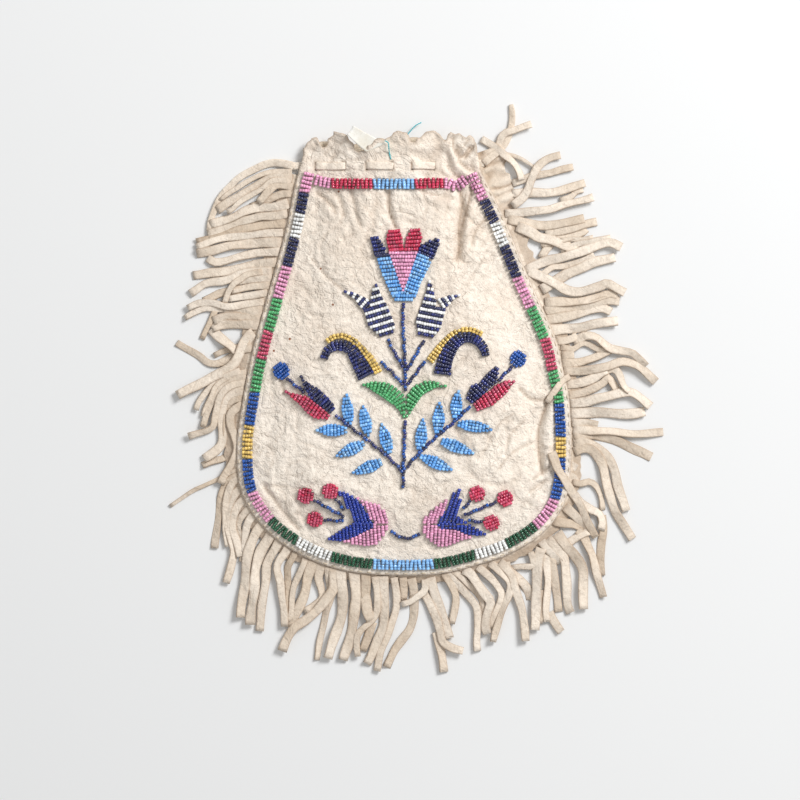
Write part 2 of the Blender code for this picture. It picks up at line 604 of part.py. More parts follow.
def motifs(underside):
    """Every bead motif on the front, each kept clear of the ones beside it."""
    cup, heart = TULIP_CUP, TULIP_HEART
    patch("tulip_heart_pink", [heart], "pink", underside)
    patch("tulip_cup_blue", [cup], "blue", underside, [heart])
    patch("tulip_tip_red_left", [TULIP_RED_LEFT], "red", underside, [heart, cup])
    patch("tulip_tip_red_right", [TULIP_RED_RIGHT], "red", underside, [heart, cup, TULIP_RED_LEFT])
    patch("tulip_tip_navy_left", [TULIP_NAVY_LEFT], "navy", underside, [cup, heart, TULIP_RED_LEFT])
    patch("tulip_tip_navy_right", [TULIP_NAVY_RIGHT], "navy", underside, [cup, heart, TULIP_RED_RIGHT])
    patch("striped_bud_left", [BUD_LEFT], "white", underside)
    patch("striped_bud_right", [BUD_RIGHT], "white", underside)

    petals = {}
    for name, line, widths in (("petal_navy_left", PETAL_NAVY_LEFT, PETAL_NAVY_WIDTHS),
                               ("petal_navy_right", PETAL_NAVY_RIGHT, PETAL_NAVY_WIDTHS),
                               ("petal_yellow_left", PETAL_YELLOW_LEFT, PETAL_YELLOW_WIDTHS),
                               ("petal_yellow_right", PETAL_YELLOW_RIGHT, PETAL_YELLOW_WIDTHS)):
        petals[name] = strip(smooth_line(line, PATCH_MESH), *widths)
    for side in ("left", "right"):
        navy, yellow = petals[f"petal_navy_{side}"], petals[f"petal_yellow_{side}"]
        patch(f"petal_navy_{side}", [navy], "navy", underside)
        patch(f"petal_yellow_{side}", [yellow], "yellow", underside, [navy])

    buds = [BUD_LEFT, BUD_RIGHT]
    upper = [strip(smooth_line(line, PATCH_MESH), STEM_WIDTH) for line in UPPER_STEMS]
    patch("upper_stems", upper, "royal", underside, [cup, *buds, *petals.values()])
    patch("calyx_green", [CALYX], "green", underside, upper)
    side_petals = {"left": (SIDE_NAVY_LEFT, SIDE_RED_LEFT), "right": (SIDE_NAVY_RIGHT, SIDE_RED_RIGHT)}
    lower = [strip(smooth_line(line, PATCH_MESH), STEM_WIDTH) for line in LOWER_STEMS]
    patch("lower_stems", lower, "royal", underside,
          [CALYX, *side_petals["left"], *side_petals["right"]])
    for number, (tip, base) in enumerate(LEAVES, 1):
        patch(f"leaf_{number}", [leaf(tip, base)], "blue", underside, lower)

    for side, stalk in (("left", BALL_STEM_LEFT), ("right", BALL_STEM_RIGHT)):
        navy, red = side_petals[side]
        patch(f"side_bud_navy_{side}", [navy], "navy", underside)
        patch(f"side_bud_red_{side}", [red], "red", underside, [navy])
        ball = [disc(stalk[0], BALL_DIAMETER), strip(smooth_line(stalk, PATCH_MESH), STEM_WIDTH)]
        patch(f"side_bud_ball_{side}", ball, "royal", underside, [navy, red])

    flowers = (("left", FLOWER_BLUE_LEFT, FLOWER_PINK_LEFT, BERRIES_LEFT),
               ("right", FLOWER_BLUE_RIGHT, FLOWER_PINK_RIGHT, BERRIES_RIGHT))
    for side, blue, pink, berries in flowers:
        patch(f"flower_blue_{side}", [blue], "royal", underside)
        patch(f"flower_pink_{side}", [pink], "pink", underside, [blue])
        stalks = []
        for number, (centre, foot) in enumerate(berries, 1):
            shape = [disc(centre, BERRY_DIAMETER), strip(smooth_line([centre, foot], PATCH_MESH), STEM_WIDTH)]
            patch(f"berry_{side}_{number}", shape, "red", underside, [blue, *stalks])
            stalks += shape
    tendril = [strip(smooth_line(TENDRIL, PATCH_MESH), STEM_WIDTH)]
    patch("tendril", tendril, "royal", underside,
          [FLOWER_PINK_LEFT, FLOWER_PINK_RIGHT, FLOWER_BLUE_LEFT, FLOWER_BLUE_RIGHT])


def fringe(name, start, end, lean, reach, seed):
    """A hide strip: a band sewn into the seam and running a little past it, then cut into thongs."""
    edge = seam_edge()
    square = rightward(edge)
    run = travelled(edge)
    count = round((end - start) / THONG_PITCH)
    pitch = (end - start) / count
    chance = random.Random(seed)
    points, faces = [], []

    def place(distance, outwards, height):
        x, y = at_distances(edge, [distance])[0]
        dx, dy = (np.interp(distance, run, square[:, k]) for k in range(2))
        points.append((x + dx * outwards, y + dy * outwards, height))
        return len(points) - 1

    rows = ((-SEAM_WIDTH + CLEARANCE, FRINGE_UNDER), (0, FRINGE_UNDER),
            (FRINGE_BAND, FRINGE_UNDER * BAND_DROOP))
    columns = []
    for number in range(count):
        for share in (THONG_CUT / 2, pitch - THONG_CUT / 2):
            distance = start + number * pitch + share
            columns.append([place(distance, outwards, height) for outwards, height in rows])
    for a, b in zip(columns, columns[1:]):
        faces += [[a[k], b[k], b[k + 1], a[k + 1]] for k in range(2)]

    for number in range(count):
        left, right = columns[2 * number][-1], columns[2 * number + 1][-1]
        share = (number + 0.5) / count
        a, b = np.array(points[left]), np.array(points[right])
        across = (b - a)[:2]
        width = np.linalg.norm(across)
        heading = math.atan2(-across[0], across[1])
        bend = np.interp(share, *zip(*lean)) + chance.uniform(-LEAN_SPREAD, LEAN_SPREAD)
        length = FRINGE_LENGTH * np.interp(share, *zip(*reach)) * chance.uniform(*REACH_SPREAD) - FRINGE_BAND
        lies_on_table = number % 2 == 0
        rest = CLEARANCE / 2 if lies_on_table else CLEARANCE / 2 + FRINGE_THICKNESS + CLEARANCE
        centre = (a + b)[:2] / 2
        sides = [left, right]
        for step, bend_share, height_share in THONG_STEPS:
            turned = heading + math.radians(bend * bend_share)
            centre = centre + length * step * np.array([math.cos(turned), math.sin(turned)])
            height = points[left][2] + (rest - points[left][2]) * height_share
            square_x, square_y = -math.sin(turned) * width / 2, math.cos(turned) * width / 2
            points.append((centre[0] - square_x, centre[1] - square_y, height))
            points.append((centre[0] + square_x, centre[1] + square_y, height))
            faces.append([sides[0], sides[1], len(points) - 1, len(points) - 2])
            sides = [len(points) - 2, len(points) - 1]
    thick_sheet(name, points, faces, FRINGE_THICKNESS, ["thong"])


def fringes():
    """The two fringe strips, which meet at the bottom of the bag."""
    length = travelled(seam_edge())[-1]
    meeting = length * MEETING
    fringe("fringe_left", FRINGE_START, meeting - CLEARANCE, LEFT_LEAN, LEFT_REACH, 3)
    fringe("fringe_right", meeting + CLEARANCE, length - FRINGE_START, RIGHT_LEAN, RIGHT_REACH, 8)


def drawstring(underside):
    """The laced part: over the front hide between the slits of a pair, inside the pouch elsewhere."""
    corner_left, corner_right = seam_edge()[0], seam_edge()[-1]
    near_mouth_corner = HIDE_THICKNESS + CLEARANCE
    half_step = LACING_STEP / 2
    slits, lacing_line = SLITS[:, 0], SLITS[0, 1]
    stations = [(corner_left[0] - CORNER_LAP, "corner"), (corner_left[0] + CORNER_LAP, "corner")]
    for number, slit in enumerate(slits):
        before, after = ("under", "over") if number % 2 == 0 else ("over", "under")
        stations += [(slit - half_step, before), (slit + half_step, after)]
        if number + 1 < len(slits):
            middle = (slit + slits[number + 1]) / 2
            stations.append((middle, after))
    stations += [(slits[-1] + LACING_TAIL, "under"), (corner_right[0] - CORNER_LAP, "corner"),
                 (corner_right[0] + CORNER_LAP / 2, "corner")]
    heights = []
    for x, where in stations:
        if where == "over":
            heights.append(underside(x, lacing_line, max) + HIDE_THICKNESS + CLEARANCE)
        elif where == "under":
            heights.append(underside(x, lacing_line, min) - CLEARANCE - DRAWSTRING_THICKNESS)
        else:
            heights.append(near_mouth_corner)
    xs = np.array([x for x, _ in stations])
    heights = np.array(heights)
    slopes = np.gradient(heights, xs)
    thickness = DRAWSTRING_THICKNESS * np.sqrt(1 + np.minimum(slopes ** 2, 1))
    half = DRAWSTRING_WIDTH / 2
    points = [(x, lacing_line + side * half, z) for x, z in zip(xs, heights) for side in (-1, 1)]
    faces = [[2 * k, 2 * k + 2, 2 * k + 3, 2 * k + 1] for k in range(len(xs) - 1)]
    thick_sheet("drawstring", points, faces, np.repeat(thickness, 2), ["thong"])


def drawstring_ends():
    """The two free ends, lying on the table beside the bag."""
    radius = DRAWSTRING_END_DIAMETER / 2
    for name, route in (("drawstring_left_end", LEFT_END), ("drawstring_right_end", RIGHT_END)):
        line = smooth_line(route, DRAWSTRING_END_DIAMETER)
        height = radius + CLEARANCE / 2
        tube(name, [(x, y, height) for x, y in line], DRAWSTRING_END_DIAMETER, "thong")


def tag(underside):
    """A bare paper tag lying over a notch of the mouth, and its thread, which goes in at a slit."""
    points, faces = filled([TAG_OUTLINE], PATCH_MESH)
    seat = max(underside(x, y, max) for x, y in points) + HIDE_THICKNESS + CLEARANCE
    flat = np.column_stack([points, np.full(len(points), seat)])
    thick_sheet("paper_tag", flat, faces, TAG_THICKNESS, ["paper"])
    radius = THREAD_DIAMETER / 2
    over = [(x, y, underside(x, y, max) + HIDE_THICKNESS + CLEARANCE + radius)
            for x, y in smooth_line(THREAD_OVER, 2)]
    under = [(x, y, underside(x, y, min) - CLEARANCE - radius) for x, y in smooth_line(THREAD_UNDER, 2)]
    hole = SLITS[3] + (0, DRAWSTRING_WIDTH / 2 + SLIT_ROOM / 2)
    inside_hole = [(*hole, over[-1][2]), (*hole, under[0][2])]
    tube("tag_thread", [*over, *inside_hole, *under], THREAD_DIAMETER, "thread")


for old in list(bpy.data.objects):
    bpy.data.objects.remove(old, do_unlink=True)

front = panels()
fringes()
border(front)
motifs(front)
drawstring(front)
drawstring_ends()
tag(front)
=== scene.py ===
import math
import random

import bpy
import numpy as np
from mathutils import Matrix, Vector, noise
from mathutils.bvhtree import BVHTree


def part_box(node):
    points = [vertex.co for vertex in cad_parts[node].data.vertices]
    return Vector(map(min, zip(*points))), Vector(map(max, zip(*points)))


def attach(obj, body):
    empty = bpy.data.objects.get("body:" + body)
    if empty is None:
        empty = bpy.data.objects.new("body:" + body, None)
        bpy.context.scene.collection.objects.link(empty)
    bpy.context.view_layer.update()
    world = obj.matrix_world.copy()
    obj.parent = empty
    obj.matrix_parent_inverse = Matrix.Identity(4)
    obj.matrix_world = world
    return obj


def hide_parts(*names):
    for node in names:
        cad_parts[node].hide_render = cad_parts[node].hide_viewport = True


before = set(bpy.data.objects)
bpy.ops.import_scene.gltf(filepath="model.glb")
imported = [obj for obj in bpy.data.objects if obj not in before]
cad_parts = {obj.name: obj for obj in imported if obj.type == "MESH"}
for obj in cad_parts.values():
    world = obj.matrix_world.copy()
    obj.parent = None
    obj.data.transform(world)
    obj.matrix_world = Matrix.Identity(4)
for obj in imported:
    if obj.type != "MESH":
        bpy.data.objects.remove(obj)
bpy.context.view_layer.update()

# The look of a beaded hide bag that lies on its back, put together in the order in which it is made.
# Sizes are in millimetres and are turned into metres where a mesh is made.
MM = 0.001

# Camera: straight above the bag through a long lens. The picture is 440 mm wide, which leaves a
# margin round the bag and its fringe.
VIEW_CENTRE = (-2.2, -16.5)
VIEW_WIDTH = 440.0
VIEW_HEIGHT = 3000.0

camera_data = bpy.data.cameras.new("view_from_above")
camera_data.sensor_width = 36.0
camera_data.lens = camera_data.sensor_width * VIEW_HEIGHT / VIEW_WIDTH
camera_data.clip_end = 20.0
camera = bpy.data.objects.new("view_from_above", camera_data)
camera.location = (VIEW_CENTRE[0] * MM, VIEW_CENTRE[1] * MM, VIEW_HEIGHT * MM)
bpy.context.collection.objects.link(camera)
bpy.context.scene.camera = camera
bpy.context.scene.view_settings.view_transform = "Standard"


# Light and floor: one soft lamp at the upper right, even light from all round, and a matt white
# table top that takes the shadow of the bag.
LAMP_PLACE = (1.35, 1.2, 1.56)
LAMP_SIZE = 0.86
LAMP_POWER = 50.0
SKY_STRENGTH = 0.465
FLOOR_SIZE = 8.0
FLOOR_GAP = 0.02
FLOOR_COLOUR = (0.865, 0.87, 0.87, 1)


def feed(tree, shader, inputs):
    """Set the inputs of a shader node, or link those that are given a socket."""
    for place, value in inputs.items():
        if isinstance(value, bpy.types.NodeSocket):
            tree.links.new(value, shader.inputs[place])
        else:
            shader.inputs[place].default_value = value


def node(tree, kind, inputs=None, **settings):
    """A new shader node with its settings and inputs."""
    made = tree.nodes.new(kind)
    for setting, value in settings.items():
        setattr(made, setting, value)
    feed(tree, made, inputs or {})
    return made


def sums(tree, operation, first, second=0.0):
    """Result of one sum on two numbers, or on a number and a socket."""
    return node(tree, "ShaderNodeMath", {0: first, 1: second}, operation=operation).outputs[0]


def new_finish(name):
    """A new material, its nodes and its surface shader."""
    finish = bpy.data.materials.new(name)
    finish.use_nodes = True
    return finish, finish.node_tree, finish.node_tree.nodes["Principled BSDF"]


lamp_data = bpy.data.lights.new("window_light", "AREA")
lamp_data.size = LAMP_SIZE
lamp_data.energy = LAMP_POWER
lamp = bpy.data.objects.new("window_light", lamp_data)
lamp.location = LAMP_PLACE
lamp.rotation_euler = (-Vector(LAMP_PLACE)).to_track_quat("-Z", "Y").to_euler()
bpy.context.collection.objects.link(lamp)

sky = bpy.data.worlds.new("even_light")
bpy.context.scene.world = sky
sky.use_nodes = True
sky.node_tree.nodes.clear()
rays = node(sky.node_tree, "ShaderNodeLightPath").outputs
seen = sums(sky.node_tree, "MAXIMUM", rays["Is Camera Ray"], rays["Is Glossy Ray"])
seen = sums(sky.node_tree, "MAXIMUM", seen, rays["Is Transmission Ray"])
seen = sums(sky.node_tree, "MULTIPLY", seen, 1.0 - SKY_STRENGTH)
strength = sums(sky.node_tree, "ADD", seen, SKY_STRENGTH)
glow = node(sky.node_tree, "ShaderNodeBackground", {"Color": (1, 1, 1, 1), "Strength": strength})
node(sky.node_tree, "ShaderNodeOutputWorld", {"Surface": glow.outputs[0]})

floor_mesh = bpy.data.meshes.new("table_top")
half_floor = FLOOR_SIZE / 2
floor_corners = [(-half_floor, -half_floor, 0), (half_floor, -half_floor, 0),
                 (half_floor, half_floor, 0), (-half_floor, half_floor, 0)]
floor_mesh.from_pydata(floor_corners, [], [(0, 1, 2, 3)])
floor = bpy.data.objects.new("table_top", floor_mesh)
floor.location.z = -FLOOR_GAP * MM
bpy.context.collection.objects.link(floor)
floor_finish, floor_tree, floor_shader = new_finish("matt white table")
feed(floor_tree, floor_shader, {"Base Color": FLOOR_COLOUR, "Roughness": 0.9, "Specular IOR Level": 0.1})
floor_mesh.materials.append(floor_finish)


# Free ends of the drawstring: one long hide thong, cut with a knife about 4 mm wide and a little
# rolled by use. It comes out at both corners of the mouth and lies loose on the table.
LACE_THICKNESS = 1.5
LACE_STEP = 2.0
LEFT_LACE = [(-60.4, 112), (-64, 113), (-71, 114), (-77, 112.8), (-82, 110.5), (-87, 108), (-91.5, 105),
             (-95.5, 101), (-99, 97.5), (-101.5, 94), (-103, 91), (-104.8, 86.5), (-106.5, 81.5),
             (-107.6, 76.5)]
RIGHT_LACE = [(43.8, 113.5), (47, 116.5), (51.5, 120), (55.5, 124.5), (58, 130), (59.3, 136), (59.5, 141),
              (59, 146)]
# The strap narrows towards its end, faster over the last part, and rolls from side to side
LACE_WIDTH = 4.4
LACE_NARROWING = (1.2, 1.0)
LACE_TIP_FROM = 0.93
LACE_ROLL = 0.22
LACE_ROLLS = 9.0
LACE_TONE = 0.1
LACE_START_HEIGHT = 2.4
LACE_REST_HEIGHT = 0.95
LACE_DROP = 9.0
# Sides of a strap, and where they stand round it
SIDES = 12
SIDE_TURNS = np.arange(SIDES) * 2 * math.pi / SIDES + math.pi / SIDES
HIDE_LIGHT = (0.94, 0.85, 0.745, 1)
HIDE_DARK = (0.85, 0.73, 0.61, 1)
# Brown that the hide turns to where it is soiled and where shade is painted
SOIL_AND_SHADE_BROWN = (0.34, 0.225, 0.14, 1)
# Fine wrinkles in the face of the hide: scale, detail, distortion, width and scale of their patches
WRINKLES = ((80.0, 2.0, 1.0, 0.07, 55.0), (190.0, 3.0, 0.7, 0.11, 90.0))


def travelled(line):
    """Distance from the start of a line to each of its points."""
    return np.concatenate([[0], np.cumsum(np.linalg.norm(np.diff(line, axis=0), axis=1))])


def falloff(away, width):
    """1 at no distance, falling smoothly to nothing at about twice the width."""
    return np.exp(-(away / width) ** 2)


def at_distances(line, distances):
    """Points of a line at the given distances from its start."""
    run = travelled(line)
    return np.stack([np.interp(distances, run, line[:, k]) for k in range(line.shape[1])], axis=1)


def smooth_line(points, spacing):
    """Evenly spaced points on a smooth curve through given ones."""
    knots = np.array(points, float)
    padded = np.vstack([2 * knots[0] - knots[1], knots, 2 * knots[-1] - knots[-2]])
    steps = np.linspace(0, 1, 16, endpoint=False)[:, None]
    dense = []
    for a, b, c, d in zip(padded, padded[1:], padded[2:], padded[3:]):
        dense.append(0.5 * (2 * b + (c - a) * steps + (2 * a - 5 * b + 4 * c - d) * steps ** 2
                            + (3 * b - a - 3 * c + d) * steps ** 3))
    dense = np.vstack([*dense, knots[-1:]])
    length = travelled(dense)[-1]
    return at_distances(dense, np.linspace(0, length, max(2, round(length / spacing) + 1)))


def flat_thong(route, widths, thickness, roll=0.0):
    """Points and faces of a closed strap with rounded edges along a route, turned by the roll."""
    ahead = np.gradient(route, axis=0)
    ahead /= np.linalg.norm(ahead, axis=1)[:, None]
    side = np.cross(ahead, (0, 0, 1))
    side /= np.linalg.norm(side, axis=1)[:, None]
    up = np.cross(side, ahead)
    cosines, sines = np.cos(SIDE_TURNS), np.sin(SIDE_TURNS)
    across = np.sign(cosines) * np.abs(cosines) ** 0.35 / 2
    over = np.sign(sines) * np.abs(sines) ** 0.5 / 2
    roll = np.broadcast_to(roll, len(route))[:, None]
    wide = (side * np.cos(roll) + up * np.sin(roll)) * np.broadcast_to(widths, len(route))[:, None]
    high = (up * np.cos(roll) - side * np.sin(roll)) * thickness
    rings = route[:, None] + wide[:, None] * across[None, :, None] + high[:, None] * over[None, :, None]
    count = len(route)
    faces = [[k * SIDES + j, (k + 1) * SIDES + j, (k + 1) * SIDES + (j + 1) % SIDES,
              k * SIDES + (j + 1) % SIDES] for k in range(count - 1) for j in range(SIDES)]
    faces.append(list(range(SIDES)))
    faces.append([(count - 1) * SIDES + j for j in reversed(range(SIDES))])
    return rings.reshape(-1, 3), [face[::-1] for face in faces]


def mesh_piece(name, points, faces, finishes, marks=None, finish_of=None):
    """A smooth shaded piece from points in millimetres, with named numbers on its points."""
    mesh = bpy.data.meshes.new(name)
    mesh.from_pydata((np.asarray(points) * MM).tolist(), [], faces)
    for finish in finishes:
        mesh.materials.append(finish)
    if finish_of is not None:
        mesh.polygons.foreach_set("material_index", finish_of)
    for mark, values in (marks or {}).items():
        mesh.attributes.new(mark, "FLOAT", "POINT").data.foreach_set("value", np.asarray(values, np.float32))
    mesh.shade_smooth()
    piece = bpy.data.objects.new(name, mesh)
    bpy.context.collection.objects.link(piece)
    return piece


def dress(piece, slot, *replaced):
    """The piece is hung under the root and stands for CAD nodes, which are hidden; the slot is not used."""
    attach(piece, "root")
    if replaced:
        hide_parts(*replaced)


def mixed(tree, amount, first, second):
    """Colour between two others."""
    return node(tree, "ShaderNodeMix", {0: amount, 6: first, 7: second}, data_type="RGBA").outputs[2]


def spread(tree, value, low, high):
    """A value stretched so that low becomes 0 and high becomes 1."""
    return node(tree, "ShaderNodeMapRange", {0: value, 1: low, 2: high}).outputs[0]


def speckle(tree, place, scale, detail, distortion=0.0):
    """Soft random pattern, most of it near one half."""
    inputs = {"Vector": place, "Scale": scale, "Detail": detail, "Distortion": distortion}
    return node(tree, "ShaderNodeTexNoise", inputs).outputs["Fac"]


def sockets(tree, direction, colours=(), values=()):
    """Give a node group its named colours and values."""
    for kind, names in (("Color", colours), ("Float", values)):
        for name in names:
            tree.interface.new_socket(name, in_out=direction, socket_type=f"NodeSocket{kind}")


def tanned_hide():
    """Node group: clouded, napped, wrinkled hide with brown flecks, darkened towards brown where it is soiled
    and where shade is painted.
    """
    tree = bpy.data.node_groups.new("tanned hide", "ShaderNodeTree")
    sockets(tree, "INPUT", ("Light", "Dark", "Soil And Shade Brown"), ("Soil And Painted Shade", "Tone"))
    sockets(tree, "OUTPUT", ("Colour",), ("Height",))
    given = node(tree, "NodeGroupInput").outputs
    place = node(tree, "ShaderNodeTexCoord").outputs["Object"]

    def pattern(*look):
        return speckle(tree, place, *look)

    clouds = spread(tree, pattern(38.0, 4.0), 0.36, 0.64)
    patchy = sums(tree, "ADD", sums(tree, "MULTIPLY", clouds, 0.6), given["Tone"])
    colour = mixed(tree, patchy, given["Light"], given["Dark"])
    veins = 0.0
    for scale, detail, distortion, wide, patch_scale in WRINKLES:
        away = sums(tree, "ABSOLUTE", sums(tree, "SUBTRACT", pattern(scale, detail, distortion), 0.5))
        valley = sums(tree, "POWER", spread(tree, away, wide, 0.0), 1.6)
        here = spread(tree, pattern(patch_scale, 2.0), 0.42, 0.62)
        veins = sums(tree, "MAXIMUM", veins, sums(tree, "MULTIPLY", valley, here))
    colour = mixed(tree, sums(tree, "MULTIPLY", veins, 0.15), colour, given["Soil And Shade Brown"])
    mottle = spread(tree, pattern(420.0, 4.0), 0.47, 0.72)
    colour = mixed(tree, sums(tree, "MULTIPLY", mottle, 0.20), colour, given["Soil And Shade Brown"])
    flecks = spread(tree, pattern(700.0, 2.0), 0.64, 0.75)
    colour = mixed(tree, sums(tree, "MULTIPLY", flecks, 0.30), colour, given["Soil And Shade Brown"])
    nap = pattern(1500.0, 2.0)
    shade = sums(tree, "ADD", sums(tree, "MULTIPLY", nap, 0.44), 0.83)
    colour = node(tree, "ShaderNodeVectorMath", {0: colour, 3: shade}, operation="SCALE").outputs[0]
    # Soil and painted shade darken the colour towards brown
    colour = mixed(tree, given["Soil And Painted Shade"], colour, given["Soil And Shade Brown"])
    height = sums(tree, "ADD", sums(tree, "MULTIPLY", nap, 0.3), pattern(330.0, 4.0))
    height = sums(tree, "ADD", height, sums(tree, "MULTIPLY", pattern(130.0, 3.0, 0.8), 1.7))
    height = sums(tree, "SUBTRACT", height, sums(tree, "MULTIPLY", veins, 0.28))
    node(tree, "NodeGroupOutput", {"Colour": colour, "Height": height})
    return tree


TANNED_HIDE = tanned_hide()


def hide_finish(name, light, dark, relief=0.0005):
    """Material of soft napped suede; creases and thongs carry their own soiling, painted shade and tone."""
    finish, tree, shader = new_finish(name)
    soil, tone = (node(tree, "ShaderNodeAttribute", attribute_name=mark).outputs["Fac"]
                  for mark in ("soil", "tone"))
    look = node(tree, "ShaderNodeGroup", {"Light": light, "Dark": dark, "Soil And Shade Brown": SOIL_AND_SHADE_BROWN, "Soil And Painted Shade": soil,
                                          "Tone": tone}, node_tree=TANNED_HIDE).outputs
    raised = node(tree, "ShaderNodeBump", {"Height": look["Height"], "Distance": relief})
    feed(tree, shader, {"Base Color": look["Colour"], "Normal": raised.outputs[0], "Roughness": 0.92,
                        "Specular IOR Level": 0.2, "Sheen Weight": 0.12, "Sheen Roughness": 0.6})
    return finish


# The thongs are coloured darker and browner than the front panel: partly the hide's own colour, partly
# painted shade for the shadows among the thongs
THONG_LIGHT = (0.89, 0.79, 0.675, 1)
THONG_DARK = (0.68, 0.56, 0.435, 1)
THONG_FINISH = hide_finish("hide thong", THONG_LIGHT, THONG_DARK)

for side_name, lace_points in (("left", LEFT_LACE), ("right", RIGHT_LACE)):
    flat_route = smooth_line(lace_points, LACE_STEP)
    lace_run = travelled(flat_route)
    lace_height = LACE_REST_HEIGHT + (LACE_START_HEIGHT - LACE_REST_HEIGHT) * falloff(lace_run, LACE_DROP)
    lace_route = np.column_stack([flat_route, lace_height])
    share = lace_run / lace_run[-1]
    at_tip = np.clip((share - LACE_TIP_FROM) / (1 - LACE_TIP_FROM), 0, 1)
    lace_width = LACE_WIDTH - LACE_NARROWING[0] * share - LACE_NARROWING[1] * at_tip
    lace_shape = flat_thong(lace_route, lace_width, LACE_THICKNESS, LACE_ROLL * np.sin(share * LACE_ROLLS))
    lace_tone = np.full(len(lace_shape[0]), LACE_TONE)
    lace = mesh_piece(f"drawstring_end_{side_name}", *lace_shape, [THONG_FINISH], {"tone": lace_tone})
    dress(lace, "thong", f"drawstring_{side_name}_end")


# Back hide: the plain panel of tanned hide behind, cut to the same pear shape, with its own
# scalloped mouth that shows through the notches of the front one. It lies flat on the table.
HIDE_THICKNESS = 1.3
BORDER_WIDTH = 5.8
RIM = 3.0
CELL = 1.0
BORDER_LINE = [
    (-52, 108.5), (-55, 96.5), (-60, 72.5), (-69.5, 38.5), (-78.5, 5), (-85, -31), (-86, -48),
    (-83.5, -66.5), (-72.5, -83), (-57.5, -94.5), (-39.5, -102.5), (-17, -106.5), (16.5, -106.5),
    (40, -101), (56, -95.5), (72.5, -85), (83, -70), (86, -47), (85, -17.5), (81.5, -0.5),
    (77, 17.5), (62, 51), (49.5, 81.5), (36.5, 108),
]
BACK_MOUTH = [
    (-56, 115.5), (-53, 121), (-46, 125.5), (-38, 125), (-30, 123.5), (-22, 126), (-13, 127.5),
    (-5, 125.5), (5, 128), (14, 126.5), (24, 126.5), (34, 124), (40.5, 118.5),
]
# Edges are rounded by this much over this distance
EDGE_ROUNDING = (0.35, 1.2)
# Unevenness of the back: height and size of its bumps; and how low its face lies between them
BACK_BUMPS = (0.12, 9.0)
BACK_SUNK = 0.1
# The mouth lifts off the table above a height on the bag, over a distance, in ripples
BACK_LIFT_FROM = 112
BACK_LIFT_RUN = 14
BACK_RIPPLE = 3.1
# The back hide is coloured darker than the front panel: painted shade for the shadow that the front's
# scallops cast on it
BACK_HIDE_LIGHT = (0.80, 0.71, 0.58, 1)
BACK_HIDE_DARK = (0.64, 0.53, 0.40, 1)


def rightward(line):
    """Unit vectors square to a line, to the right of the way it runs."""
    ahead = np.gradient(line, axis=0)
    ahead /= np.linalg.norm(ahead, axis=1)[:, None]
    return np.stack([ahead[:, 1], -ahead[:, 0]], axis=1)


def nearest_on(line, points):
    """Distance from each point to a line, the travelled distance there, and the nearest place."""
    a, b = line[:-1], line[1:]
    span = b - a
    run = travelled(line)
    found = []
    for some in np.array_split(points, max(1, len(points) // 3000)):
        part = np.clip(((some[:, None] - a) * span).sum(2) / (span ** 2).sum(1), 0, 1)
        foot = a + part[:, :, None] * span
        away = np.linalg.norm(some[:, None] - foot, axis=2)
        best = away.argmin(1)
        every = np.arange(len(some))
        along = run[best] + part[every, best] * np.diff(run)[best]
        found.append(np.column_stack([away[every, best], along, foot[every, best]]))
    found = np.vstack(found)
    return found[:, 0], found[:, 1], found[:, 2:]


def inside(outline, points):
    """Which of the points lie inside an outline."""
    within = np.zeros(len(points), bool)
    for (ax, ay), (bx, by) in zip(outline, np.roll(outline, -1, axis=0)):
        if ay != by:
            left = points[:, 0] < ax + (points[:, 1] - ay) * (bx - ax) / (by - ay)
            within ^= left & ((ay > points[:, 1]) != (by > points[:, 1]))
    return within


def closed(outline):
    """An outline with its first point again at the end."""
    return np.vstack([outline, outline[:1]])


def cut_panel(outline, holes=()):
    """Square cells over a cut panel, the points on its edges drawn onto the cut."""
    low, high = outline.min(0) - CELL, outline.max(0) + CELL
    xs, ys = np.arange(low[0], high[0], CELL), np.arange(low[1], high[1], CELL)
    corners = np.stack(np.meshgrid(xs, ys), axis=2).reshape(-1, 2)
    middles = corners + CELL / 2
    keep = inside(outline, middles)
    for hole in holes:
        keep &= ~inside(hole, middles)
    first = np.nonzero(keep)[0]
    quads = np.stack([first, first + 1, first + len(xs) + 1, first + len(xs)], axis=1)
    used, quads = np.unique(quads, return_inverse=True)
    quads = quads.reshape(-1, 4)
    points = corners[used]
    rim = np.bincount(quads.ravel(), minlength=len(points)) < 4
    feet = [nearest_on(closed(cut), points[rim]) for cut in (outline, *holes)]
    best = np.argmin([away for away, _, _ in feet], axis=0)
    points[rim] = np.array([foot for _, _, foot in feet])[best, np.arange(rim.sum())]
    for _ in range(6):
        total = np.zeros_like(points)
        for k in range(4):
            np.add.at(total, quads[:, k], points[quads[:, k - 1]] + points[quads[:, (k + 1) % 4]])
        even = total / (2 * np.bincount(quads.ravel(), minlength=len(points)))[:, None]
        points[~rim] = even[~rim]
    return points, quads


def thick(points, top, under, quads):
    """A closed sheet between two heights over the same cells."""
    count = len(points)
    both = np.vstack([np.column_stack([points, top]), np.column_stack([points, under])])
    edges = np.concatenate([quads[:, [k, (k + 1) % 4]] for k in range(4)])
    known = set(map(tuple, edges.tolist()))
    walls = [[b, a, a + count, b + count] for a, b in known if (b, a) not in known]
    return both, quads.tolist() + (quads[:, ::-1] + count).tolist() + sorted(walls)


def wave(points, size, seed):
    """Smooth random heights between about -1 and 1, with bumps of the given size."""
    return np.array([noise.noise(Vector((x / size, y / size, seed))) for x, y in points])


